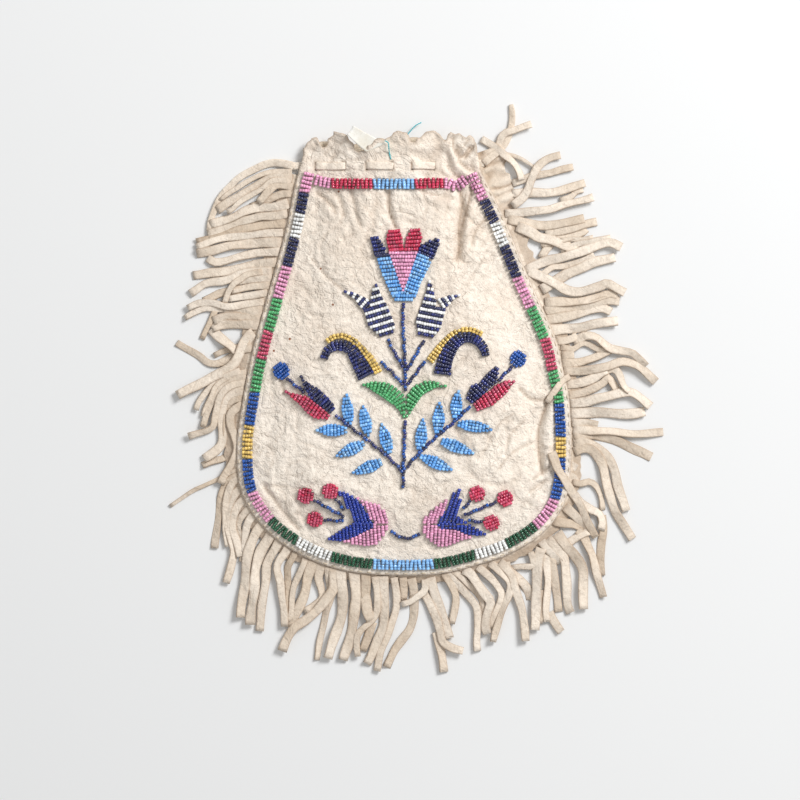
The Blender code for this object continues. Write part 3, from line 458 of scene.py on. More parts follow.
BORDER_CENTRE = smooth_line(BORDER_LINE, 2.0)
SEAM_EDGE = BORDER_CENTRE + rightward(BORDER_CENTRE) * (BORDER_WIDTH / 2 + RIM)
back_outline = np.vstack([SEAM_EDGE, smooth_line(BACK_MOUTH, 1.5)[::-1]])
back_points, back_quads = cut_panel(back_outline)
from_cut = nearest_on(closed(back_outline), back_points)[0]
rounding = EDGE_ROUNDING[0] * np.clip(1 - from_cut / EDGE_ROUNDING[1], 0, 1) ** 2
back_top = HIDE_THICKNESS - rounding + BACK_BUMPS[0] * wave(back_points, BACK_BUMPS[1], 3.0) - BACK_SUNK
mouth_lift = np.clip((back_points[:, 1] - BACK_LIFT_FROM) / BACK_LIFT_RUN, 0, 1) ** 2
back_ripple = 0.5 + 0.5 * np.sin(back_points[:, 0] / BACK_RIPPLE)
back_top += mouth_lift * (0.5 + 0.7 * back_ripple)
back_under = rounding * 0.6 + mouth_lift * (0.4 + 0.6 * back_ripple)
back_shape = thick(back_points, back_top, back_under, back_quads)
back_soil = np.tile(0.5 * np.clip(1 - from_cut / 1.0, 0, 1), 2)
BACK_FINISH = hide_finish("back hide", BACK_HIDE_LIGHT, BACK_HIDE_DARK)
back_hide = mesh_piece("back_panel", *back_shape, [BACK_FINISH], {"soil": back_soil})
dress(back_hide, "hide_back", "back_hide")


# Front hide: the matching panel of cream buckskin, drawn up a little over the empty pouch. Its mouth
# is cut in scallops that curl, it has six slits for the drawstring, and it is crumpled and creased.
FRINGE_THICKNESS = 1.2
GAP = 0.3
SEAM_WIDTH = 6.0
CROWN = 6.0
CROWN_RUN = 38.0
SEAM_UNDER = HIDE_THICKNESS + GAP + FRINGE_THICKNESS + GAP
FRONT_MOUTH = [
    (-56, 115.5), (-54.5, 122), (-51.5, 127), (-48.5, 127.5), (-44.5, 122.5), (-42.5, 124),
    (-39.5, 129), (-36, 130.5), (-32, 129), (-28.5, 125), (-25.5, 120.5), (-21, 121), (-15.5, 126),
    (-9, 127), (-5.5, 130), (-1.5, 131.5), (2, 129), (6, 124.5), (8, 127), (12, 130.5), (16, 131),
    (19.5, 129.5), (22.5, 126), (25.5, 130.5), (28, 128.5), (30.5, 129.5), (33.5, 127.5), (36.5, 128.5),
    (39, 125.5), (40.5, 118.5),
]
SLITS = [-48.5, -33, -20.5, -6.5, 4.5, 16.5]
LACING_LINE = 112.0
SLIT_HALF = (0.5, 2.5)
# Broad folds of the front: two ends, height (a furrow is negative) and half width
FRONT_FOLDS = [
    ((30, 98), (31, 60), -1.8, 5.0), ((40, 92), (38, 66), 1.0, 6.0), ((8, 98), (26, 93), 1.0, 5.0),
    ((-10, 99), (-9, 78), -1.1, 5.0), ((-33, 98), (-29, 76), -0.9, 5.0), ((-46, 96), (-49, 76), -0.8, 5.0),
    ((-22, 98), (-20, 84), 0.8, 5.0), ((72, -30), (76, -62), -1.2, 6.0), ((50, -42), (66, -34), -0.8, 6.0),
    ((-60, -60), (-52, -80), -0.8, 6.0),
]
# Sharp creases: route, depth, half width and how brown they are
CREASES = [
    ([(-47.6, 97.4), (-43.5, 94), (-39.6, 90.2), (-37.4, 85.8)], 0.9, 1.3, 0.35),
    ([(-37.4, 97.4), (-34.1, 90.2), (-33, 84.7)], 0.9, 1.2, 0.3),
    ([(-29.2, 99.6), (-25.9, 84.7), (-23.7, 79.2)], 0.8, 1.3, 0.28),
    ([(-8.3, 97.4), (-8.5, 90.8), (-7.7, 85.8), (-4.7, 78.1)], 1.1, 1.2, 0.55),
    ([(-50.3, 61), (-42.9, 51.7), (-33, 43.5)], 0.6, 1.1, 0.3),
    ([(9.9, 97.9), (27, 94)], 0.8, 1.3, 0.3),
    ([(30.8, 99), (31.9, 89.7), (30.3, 79.2), (30.3, 69.3), (29.2, 60.5)], 1.5, 1.7, 0.5),
    ([(37.4, 100.7), (35.8, 93), (31.9, 79.2)], 1.2, 1.4, 0.45),
    ([(47.3, 85.3), (39.6, 77), (37.4, 68.8)], 0.9, 1.3, 0.35),
    ([(79.2, -16), (75.9, -25.9), (73.7, -34.7), (74.3, -46.8), (75.9, -56.7)], 1.5, 1.5, 0.5),
    ([(63.8, -10.5), (69.9, -16), (79.2, -16.5)], 0.9, 1.3, 0.4),
    ([(-76.5, -64.4), (-71, -71.5), (-64.9, -79.8), (-57.8, -87.5)], 1.0, 1.5, 0.35),
    ([(80, -53), (71, -60)], 0.8, 1.2, 0.3), ([(78.5, -60), (69, -67)], 0.7, 1.2, 0.3),
    ([(60, -24), (52, -30), (47, -38)], 0.7, 1.2, 0.25), ([(66, -28), (58, -36), (56, -46)], 0.6, 1.1, 0.22),
    ([(70, -40), (60, -45), (52, -54)], 0.7, 1.3, 0.25),
    ([(-66, 2), (-67.5, -4), (-66, -12)], 0.6, 1.2, 0.35),
    ([(24, 112), (29, 106), (35, 104)], 1.0, 1.4, 0.35),
    ([(29, 121), (31, 114), (36, 110)], 1.1, 1.4, 0.45),
    ([(26.5, 127), (28, 120), (31.5, 117), (36, 122)], 1.1, 1.2, 0.5),
    ([(33.5, 116.5), (38.5, 123)], 1.1, 1.3, 0.5), ([(37, 113), (40, 106), (43, 99)], 0.8, 1.2, 0.35),
]
# Raised ridges: route, height and half width
RIDGES = [
    ([(81.4, -15), (80, -30), (78.5, -52)], 1.4, 2.0), ([(26, 120), (30, 112), (36, 106)], 1.3, 2.4),
    ([(35, 90), (34.5, 78), (33, 64)], 1.0, 2.2), ([(-13, 97), (-12, 84)], 0.7, 2.0),
]
# Networks of small creases all over: size of the mesh, depth, how narrow they are, and a seed
CREASE_NETS = [(19.0, 0.75, 0.075, 1.7), (11.0, 0.50, 0.11, 7.3)]
# Fine wrinkles that run down from the right shoulder: place, radius, way in degrees, depth
SHOULDER = ((40, 68), 26.0, 58, 0.8)
# The lower half of the panel is paler than the upper
PALER_BELOW = 0.35
# Small stains on the hide: place and radius
STAINS = [((-62.7, 17), 0.9), ((-71.5, 10.5), 0.8), ((-39, 35.8), 0.8), ((-35.8, 97.9), 0.8),
          ((-45.7, 55.6), 0.7)]
STAIN_COLOUR = (0.30, 0.11, 0.05, 1)
# How crumpled the hide is all over, and where it is more so: place, radius and how much more
EVEN_CRUMPLE = 0.6
CRUMPLED = [((60, -38), 26.0, 1.0), ((36, 96), 20.0, 1.2), ((-20, 116), 34.0, 0.9), ((-70, -60), 24.0, 0.5),
            ((30, 120), 14.0, 1.6), ((10, -50), 30.0, 0.5)]
# Unevenness of the front: height and size of its swells, its lumps and its fine bumps
SWELLS = (0.55, 24.0)
LUMPS = (0.75, 7.0)
FINE_BUMPS = (0.12, 2.4)
# Puckers drawn up by the sewing along the seam: height, length and how far in they reach
PUCKERS = (0.22, 5.2, 3.5)
# The mouth curls up, over this distance from its edge
CURL_RUN = 7


def hide_underside(points):
    """Height of the underside of the front hide: flat in the seam, crowned over the empty pouch."""
    from_seam, along, _ = nearest_on(SEAM_EDGE, points)
    share = np.clip((from_seam - SEAM_WIDTH) / CROWN_RUN, 0, 1)
    height = SEAM_UNDER + CROWN * share * share * (3 - 2 * share)
    free = np.clip((from_seam - SEAM_WIDTH) / 10, 0, 1)
    for start, end, rise, half_width in FRONT_FOLDS:
        away = nearest_on(np.array([start, end], float), points)[0]
        height += rise * free * falloff(away, half_width)
    return height, from_seam, along, free


def close_to(points, centre, radius):
    """1 at a place, falling smoothly to nothing at about twice the radius."""
    return np.exp(-((points - centre) ** 2).sum(1) / radius ** 2)


def hide_surface(points):
    """Height of the front hide's upper face, and how brown its creases are there."""
    height, from_seam, along, free = hide_underside(points)
    height = height + HIDE_THICKNESS
    soil = np.zeros(len(points))
    for route, depth, half_width, brown in CREASES:
        away = nearest_on(smooth_line(route, 2.0), points)[0]
        height -= depth * falloff(away, half_width)
        height += 0.35 * depth * falloff(away - 2.2 * half_width, half_width)
        soil = np.maximum(soil, 1.5 * brown * falloff(away, 0.6 * half_width))
    for route, rise, half_width in RIDGES:
        away = nearest_on(smooth_line(route, 2.0), points)[0]
        height += rise * falloff(away, half_width)
    rough = np.full(len(points), EVEN_CRUMPLE)
    for centre, radius, amount in CRUMPLED:
        rough += amount * close_to(points, centre, radius)
    bent = points + np.column_stack([wave(points, 15.0, 11.0), wave(points, 15.0, 12.0)]) * 4
    height += free * SWELLS[0] * wave(points, SWELLS[1], 0.4)
    for size, depth, narrow, seed in CREASE_NETS:
        valley = falloff(wave(bent, size, seed), narrow)
        valley *= free * rough * np.clip(0.45 + 2.4 * wave(points, 2.2 * size, seed + 3), 0, 1)
        height -= depth * valley
        soil = np.maximum(soil, 0.22 * valley)
    height += (free * rough * LUMPS[0] * wave(bent, LUMPS[1], 5.1)
               + FINE_BUMPS[0] * wave(points, FINE_BUMPS[1], 5.1))
    centre, radius, way, depth = SHOULDER
    ahead = np.array([math.cos(math.radians(way)), math.sin(math.radians(way))])
    drawn_out = np.column_stack([points @ (-ahead[1], ahead[0]), points @ ahead * 0.2])
    near = free * close_to(points, centre, radius)
    height += depth * near * wave(drawn_out, 2.6, 17.0)
    soil = np.maximum(soil, 0.28 * near * falloff(wave(drawn_out, 4.2, 19.0), 0.09))
    rise, length, reach = PUCKERS
    pucker = np.sin(along / length * 2 * math.pi / 1.6 + 2.0 * np.sin(along / 11))
    height += rise * pucker * falloff(from_seam - 2.0, reach)
    # The deepest creases stop on the back panel
    return np.maximum(height, 2 * HIDE_THICKNESS + GAP), soil


mouth_line = smooth_line(FRONT_MOUTH, 1.0)
ragged = np.column_stack([wave(mouth_line, 2.6, 31.0), wave(mouth_line, 2.6, 32.0)])
mouth_line[2:-2] += 1.3 * ragged[2:-2]
front_outline = np.vstack([SEAM_EDGE, mouth_line[::-1]])
slit_cuts = [np.array([(x + side * SLIT_HALF[0], LACING_LINE + end * SLIT_HALF[1])
                       for side, end in ((-1, -1), (1, -1), (1, 1), (-1, 1))]) for x in SLITS]
front_points, front_quads = cut_panel(front_outline, slit_cuts)
front_top, front_soil = hide_surface(front_points)
from_cut = nearest_on(closed(front_outline), front_points)[0]
from_mouth = nearest_on(mouth_line, front_points)[0]
curl = np.clip(1 - from_mouth / CURL_RUN, 0, 1) ** 2
at_cut = np.clip(1 - from_cut / 1.3, 0, 1) ** 2
front_top += curl * (0.9 + 0.8 * wave(front_points, 7.0, 9.0)) - 0.5 * at_cut
front_under = front_top - HIDE_THICKNESS + 0.6 * at_cut
from_seam_edge = nearest_on(SEAM_EDGE, front_points)[0]
handled = np.clip(1 - from_mouth / 16, 0, 1) * np.clip(0.3 + 1.8 * wave(front_points, 5.0, 14.0), 0, 1)
front_soil = np.maximum.reduce([front_soil, 0.30 * handled, 0.6 * falloff(from_seam_edge, 0.8),
                                0.6 * falloff(from_mouth, 1.1)])
for slit in slit_cuts:
    front_soil = np.maximum(front_soil, 0.5 * falloff(nearest_on(closed(slit), front_points)[0], 0.8))
front_shape = thick(front_points, front_top, front_under, front_quads)
front_tone = -PALER_BELOW * np.clip((30 - front_points[:, 1]) / 60, 0, 1)
FRONT_FINISH = hide_finish("front hide", HIDE_LIGHT, HIDE_DARK, 0.0010)
front_tree = FRONT_FINISH.node_tree
front_shader = front_tree.nodes["Principled BSDF"]
place = node(front_tree, "ShaderNodeTexCoord").outputs["Object"]
flat_place = node(front_tree, "ShaderNodeVectorMath", {0: place, 1: (1, 1, 0)},
                  operation="MULTIPLY").outputs[0]
stained = front_shader.inputs["Base Color"].links[0].from_socket
for (x, y), radius in STAINS:
    away = node(front_tree, "ShaderNodeVectorMath", {0: flat_place, 1: (x * MM, y * MM, 0)},
                operation="DISTANCE").outputs["Value"]
    inside_stain = spread(front_tree, away, radius * MM, radius * 0.5 * MM)
    stained = mixed(front_tree, inside_stain, stained, STAIN_COLOUR)
feed(front_tree, front_shader, {"Base Color": stained})
front_hide = mesh_piece("front_panel", *front_shape, [FRONT_FINISH],
                        {"soil": np.tile(front_soil, 2), "tone": np.tile(front_tone, 2)})
dress(front_hide, "hide", "front_hide")


# Fringe: two strips of the same hide, sewn between the panels and cut into thongs that have twisted,
# curled and fallen across each other. The strips meet at the bottom of the bag.
THONG_THICKNESS = 1.1
LEVEL_HEIGHTS = (0.6, 1.5, 2.5, 2.5)
SEAM_HEIGHT = 2.35
THONG_STEP = 2.4
BAND_CELL = 0.7
BAND_ROWS = 21
# Darkening at the sides of each thong: soil of the cut edges, and painted shade between the thongs
EDGE_SOIL_AND_SHADE = 0.70
# Painted shade in the slits of the band between the thongs
PAINTED_SLIT_SHADE = 0.42
FULLNESS = 1.12
# Height of a thong flung back over the border, above the hide
BEAD_ROOM = 1.9
# Width of the strip inside the seam, and its height where it ends in thongs
SEAM_TUCK = 4.5
BAND_FOOT_HEIGHT = 0.75
# A thong that starts this near the seam comes out of it, and falls over this distance
ROOT_REACH = 7
FALL_RUN = 16
LOOSE_START_HEIGHT = 1.1
MEETING = 0.487
# The right strip runs on past the seam in a torn, crumpled end
TORN_END = [(40.2, 114.5), (38.6, 119)]
# Painted shade of the dark hollow under the rolled end of the right strip: place and radius
PAINTED_HOLLOW_SHADE = ((42.0, 119.0), 2.8)
# How far each strip stays uncut beyond the seam: share of the way round the bag, and millimetres
LEFT_BAND = [(0.0, 9), (0.2, 9), (0.5, 7), (0.75, 5), (1, 4)]
RIGHT_BAND = [(0.0, 4), (0.3, 5), (0.55, 6), (0.8, 7), (0.9, 11), (1, 15)]
# Thongs: width, level (0 lowest, 2 on top, 3 flung back over the border) and the route outwards
LEFT_THONGS = [
    (2.8, 1, [(-61.5, 109), (-72, 109), (-78, 107.5), (-86, 103.5), (-92, 100), (-97.5, 96.5), (-101, 93)]),
    (5.0, 1, [(-61.5, 106), (-71, 105.5), (-77, 103.5), (-83.5, 99.5), (-91, 95), (-97, 92), (-103, 88)]),
    (3.0, 2, [(-62, 104), (-72, 104), (-77, 100.5), (-82, 97.5), (-87, 94.5), (-91, 91.5), (-94.5, 88),
              (-97.5, 87)]),
    (4.4, 2, [(-61, 100.5), (-69.5, 102), (-74, 99), (-77.5, 94.5), (-80, 92)]),
    (3.9, 0, [(-62, 97), (-68, 96.5), (-73.5, 94), (-78, 92), (-84.5, 90)]),
    (5.0, 1, [(-63.5, 91.5), (-71, 89.5), (-76, 89.5), (-82, 89), (-88, 87), (-94, 84), (-100, 82),
              (-106.5, 80)]),
    (4.4, 1, [(-64, 86), (-72, 84.5), (-79, 84.5), (-84.5, 83), (-90.5, 81.5), (-95.5, 79.5), (-101, 77),
              (-108, 75)]),
    (4.7, 0, [(-65.5, 80.5), (-76, 80), (-83, 78.5), (-92, 76.5), (-99, 74), (-106.5, 72), (-114, 70)]),
    (4.1, 1, [(-66.5, 75.5), (-76, 75), (-84.5, 74), (-92, 73.5), (-99, 72.5), (-106.5, 70.5), (-114, 67.5)]),
    (5.2, 1, [(-67.5, 70), (-78, 70), (-85, 69.5), (-92, 69), (-99, 67.5), (-106.5, 65.5), (-114, 64)]),
    (4.4, 1, [(-68, 65), (-78, 64.5), (-85, 63.5), (-92, 62), (-98, 60), (-102.5, 59), (-105, 59.5),
              (-108, 61.5)]),
    (5.0, 0, [(-70, 59), (-78, 58.5), (-85, 57), (-92, 55.5), (-99, 54), (-106.5, 53.5), (-116, 52)]),
    (4.4, 1, [(-72.5, 54.5), (-82, 54), (-91, 52.5), (-94.5, 50.5), (-100, 49), (-105, 48.5), (-110, 47),
              (-113.5, 44.5), (-117.5, 42)]),
    (3.3, 2, [(-78, 54), (-86, 52.5), (-89, 50.5), (-93, 48), (-95.5, 44.5), (-97, 41.5), (-98.5, 36.5)]),
    (3.9, 1, [(-72.5, 50.5), (-80.5, 50), (-88.5, 49), (-92.5, 48)]),
    (3.9, 1, [(-73.5, 46.5), (-82, 46), (-90, 44.5), (-95, 43.5)]),
    (3.9, 1, [(-75, 42.5), (-83.5, 41), (-90, 40), (-96.5, 39)]),
    (4.4, 0, [(-90, 44), (-100, 42.5), (-105.5, 40), (-110.5, 38)]),
    (3.9, 2, [(-77, 37.5), (-88, 36), (-94, 35), (-99, 35), (-104, 36.5), (-108.5, 37), (-114, 36.5),
              (-119, 34)]),
    (3.3, 1, [(-98, 33.5), (-103, 33.5), (-108, 34), (-111, 33.5), (-115.5, 31.5), (-120.5, 28.5)]),
    (5.0, 1, [(-78, 32.5), (-87.5, 32), (-94.5, 32.5), (-99, 31.5)]),
    (5.0, 1, [(-78.5, 28.5), (-88, 28.5), (-94, 29.5), (-100, 29), (-105, 27)]),
    (5.0, 1, [(-79, 24.5), (-88, 25), (-100, 25), (-105.5, 22.5)]),
    (5.0, 2, [(-106, 22.5), (-102, 18.5), (-98, 15.5), (-94, 12), (-92.5, 10)]),
    (3.0, 0, [(-103.5, 33.5), (-106, 27.5), (-108.5, 23), (-111, 17)]),
    (3.3, 0, [(-84.5, 15.5), (-90, 13), (-94.5, 11.5), (-100, 10), (-104.5, 8)]),
    (3.9, 0, [(-83.5, 12), (-88.5, 11), (-94, 8), (-98, 5.5), (-103, 3.5), (-108, 4), (-112.5, 7.5),
              (-119, 11.5), (-125, 15)]),
    (5.5, 2, [(-82.5, 20.5), (-84.5, 19), (-88, 14), (-91, 8), (-93.5, 3.5), (-98, -0.5), (-104.5, -3.5),
              (-112, -7.5), (-119, -11), (-124.5, -14)]),
    (3.3, 1, [(-90, -0.5), (-97, -3), (-103, -5.5), (-106.5, -9.5), (-110.5, -14.5), (-113, -18),
              (-114.5, -22)]),
    (2.8, 1, [(-86.5, -1), (-92.5, -2), (-98, -5), (-103.5, -9), (-106, -14.5), (-109, -20.5),
              (-110.5, -25.5)]),
    (3.3, 1, [(-86.5, -4), (-93.5, -4.5), (-98.5, -7), (-102.5, -11.5), (-105, -17), (-108, -23.5),
              (-110.5, -31.5)]),
    (3.9, 2, [(-87, -7), (-93.5, -8), (-98, -10.5), (-101, -15), (-102.5, -20.5), (-104, -26.5), (-105, -31),
              (-108.5, -33.5), (-113.5, -35), (-118.5, -36.5)]),
    (5.0, 1, [(-87.5, -11.5), (-93.5, -12.5), (-97.5, -15.5), (-99.5, -21), (-100, -27.5), (-99.5, -34.5),
              (-100.5, -41), (-105, -45.5), (-110, -49)]),
    (3.9, 0, [(-88, -15.5), (-93, -16), (-96.5, -18.5), (-97.5, -24), (-98, -31.5), (-97.5, -39),
              (-95.5, -45), (-99, -48.5), (-105.5, -50), (-111, -52.5)]),
    (4.4, 2, [(-88.5, -19), (-93.5, -22), (-95.5, -25), (-95, -30.5), (-93, -36), (-91.5, -42.5), (-93, -48),
              (-95.5, -53), (-98.5, -58), (-101, -62.5)]),
    (2.2, 0, [(-90, -54), (-95.5, -56.5), (-102, -60), (-109.5, -63.5), (-116.5, -66.5), (-123, -71),
              (-128.5, -75)]),
    (4.4, 0, [(-88, -57), (-92.5, -59), (-96.5, -61), (-98.5, -64), (-100, -69), (-101, -75), (-102.5, -84),
              (-103.5, -92), (-104, -98)]),
    (3.9, 1, [(-87.5, -60), (-91.5, -60), (-95, -63), (-97, -69), (-98, -75), (-98, -81), (-98, -88.5),
              (-96.5, -97)]),
    (4.4, 1, [(-86, -65), (-91.5, -66.5), (-95, -71.5), (-97, -78), (-97, -85), (-95, -93.5), (-93.5, -100),
              (-95, -108), (-98, -117)]),
    (4.4, 1, [(-84, -70), (-89, -72), (-92.5, -76.5), (-94, -82.5), (-94, -88.5), (-92, -94.5),
              (-90, -102.5)]),
    (3.9, 0, [(-82, -74), (-87, -78), (-90, -81.5), (-91.5, -86), (-90, -92.5), (-88.5, -99), (-89, -105.5)]),
    (4.4, 1, [(-80, -78), (-83.5, -80.5), (-86, -84.5), (-87, -89.5), (-87, -94), (-88, -100)]),
    (5.2, 2, [(-76, -83.5), (-80.5, -88), (-83.5, -94), (-86, -102.5), (-87, -110), (-87.5, -119),
              (-89.5, -130), (-90, -136)]),
    (5.5, 2, [(-72, -88), (-75, -93.5), (-79, -100), (-81.5, -109.5), (-82.5, -121.5), (-84, -133.5),
              (-84.5, -140)]),
    (4.7, 1, [(-67.5, -92.5), (-70.5, -97.5), (-75, -106), (-76, -115.5), (-77.5, -125), (-78.5, -133.5),
              (-79.5, -143.5)]),
    (4.1, 2, [(-63.5, -96.5), (-65, -100), (-69, -105.5), (-70, -110), (-68, -116.5), (-67, -125),
              (-66, -133), (-65.5, -141)]),
    (3.6, 0, [(-59, -99), (-61, -103), (-64, -108.5), (-64, -114), (-63.5, -121), (-63.5, -130),
              (-64.5, -138.5)]),
    (3.3, 1, [(-54, -103), (-55.5, -107.5), (-58, -113), (-60.5, -119), (-61.5, -126.5), (-62, -133),
              (-63.5, -138.5)]),
    (5.2, 1, [(-49.5, -104), (-51, -108.5), (-53, -114.5), (-54.5, -122), (-57, -129), (-60, -135.5),
              (-64, -141)]),
    (4.4, 0, [(-45.5, -105.5), (-46, -109), (-47, -114.5), (-45.5, -120.5), (-45, -125.5), (-49.5, -130),
              (-55, -133)]),
    (3.3, 0, [(-42, -107.5), (-42, -112), (-41, -119), (-41, -125)]),
    (5.2, 2, [(-38.5, -108.5), (-38.5, -115.5), (-39, -121), (-43, -126.5), (-48.5, -132.5), (-54, -137.5),
              (-59.5, -141), (-62.5, -144.5), (-65, -149), (-67, -154.5)]),
    (3.6, 0, [(-39, -121), (-40.5, -126.5), (-43, -133), (-44.5, -142), (-46.5, -150), (-48, -159.5)]),
    (5.5, 2, [(-35, -109), (-34.5, -115.5), (-33.5, -125), (-34.5, -135.5), (-37, -144), (-39.5, -150.5),
              (-42, -158.5)]),
    (5.5, 1, [(-27.5, -110.5), (-26.5, -123), (-27, -132.5), (-28.5, -142), (-30.5, -150.5),
              (-33.5, -159.5)]),
    (5.0, 0, [(-21, -111.5), (-21, -118.5), (-21, -126.5)]),
    (5.5, 2, [(-22, -121.5), (-21, -126.5), (-20, -133), (-18, -137.5)]),
    (3.6, 2, [(-16, -113.5), (-15, -121), (-14.5, -127.5), (-15, -133), (-17.5, -137.5), (-22, -141.5),
              (-25, -145), (-26, -150), (-25.5, -157.5)]),
    (4.4, 0, [(-17, -138.5), (-18.5, -143), (-20.5, -148.5), (-22.5, -154.5)]),
    (5.2, 1, [(-11.5, -113), (-11, -123), (-11, -132.5), (-11.5, -141), (-14.5, -149), (-18, -157),
              (-20.5, -161.5)]),
    (3.9, 1, [(-5.5, -114), (-4, -125), (-4.5, -132.5), (-7, -139.5), (-10, -148.5), (-13, -156),
              (-15, -165.5)]),
    (3.9, 0, [(-0.5, -114), (0, -121), (0, -126.5)]),
    (4.7, 0, [(4, -114.5), (5.5, -122), (5.5, -130), (5, -136), (3, -143), (-1.5, -149), (-5.5, -154.5),
              (-9.5, -163.5)]),
    (3.6, 2, [(11.5, -115), (11.5, -121), (7.5, -124.5), (3, -127.5), (-1.5, -128.5)]),
]
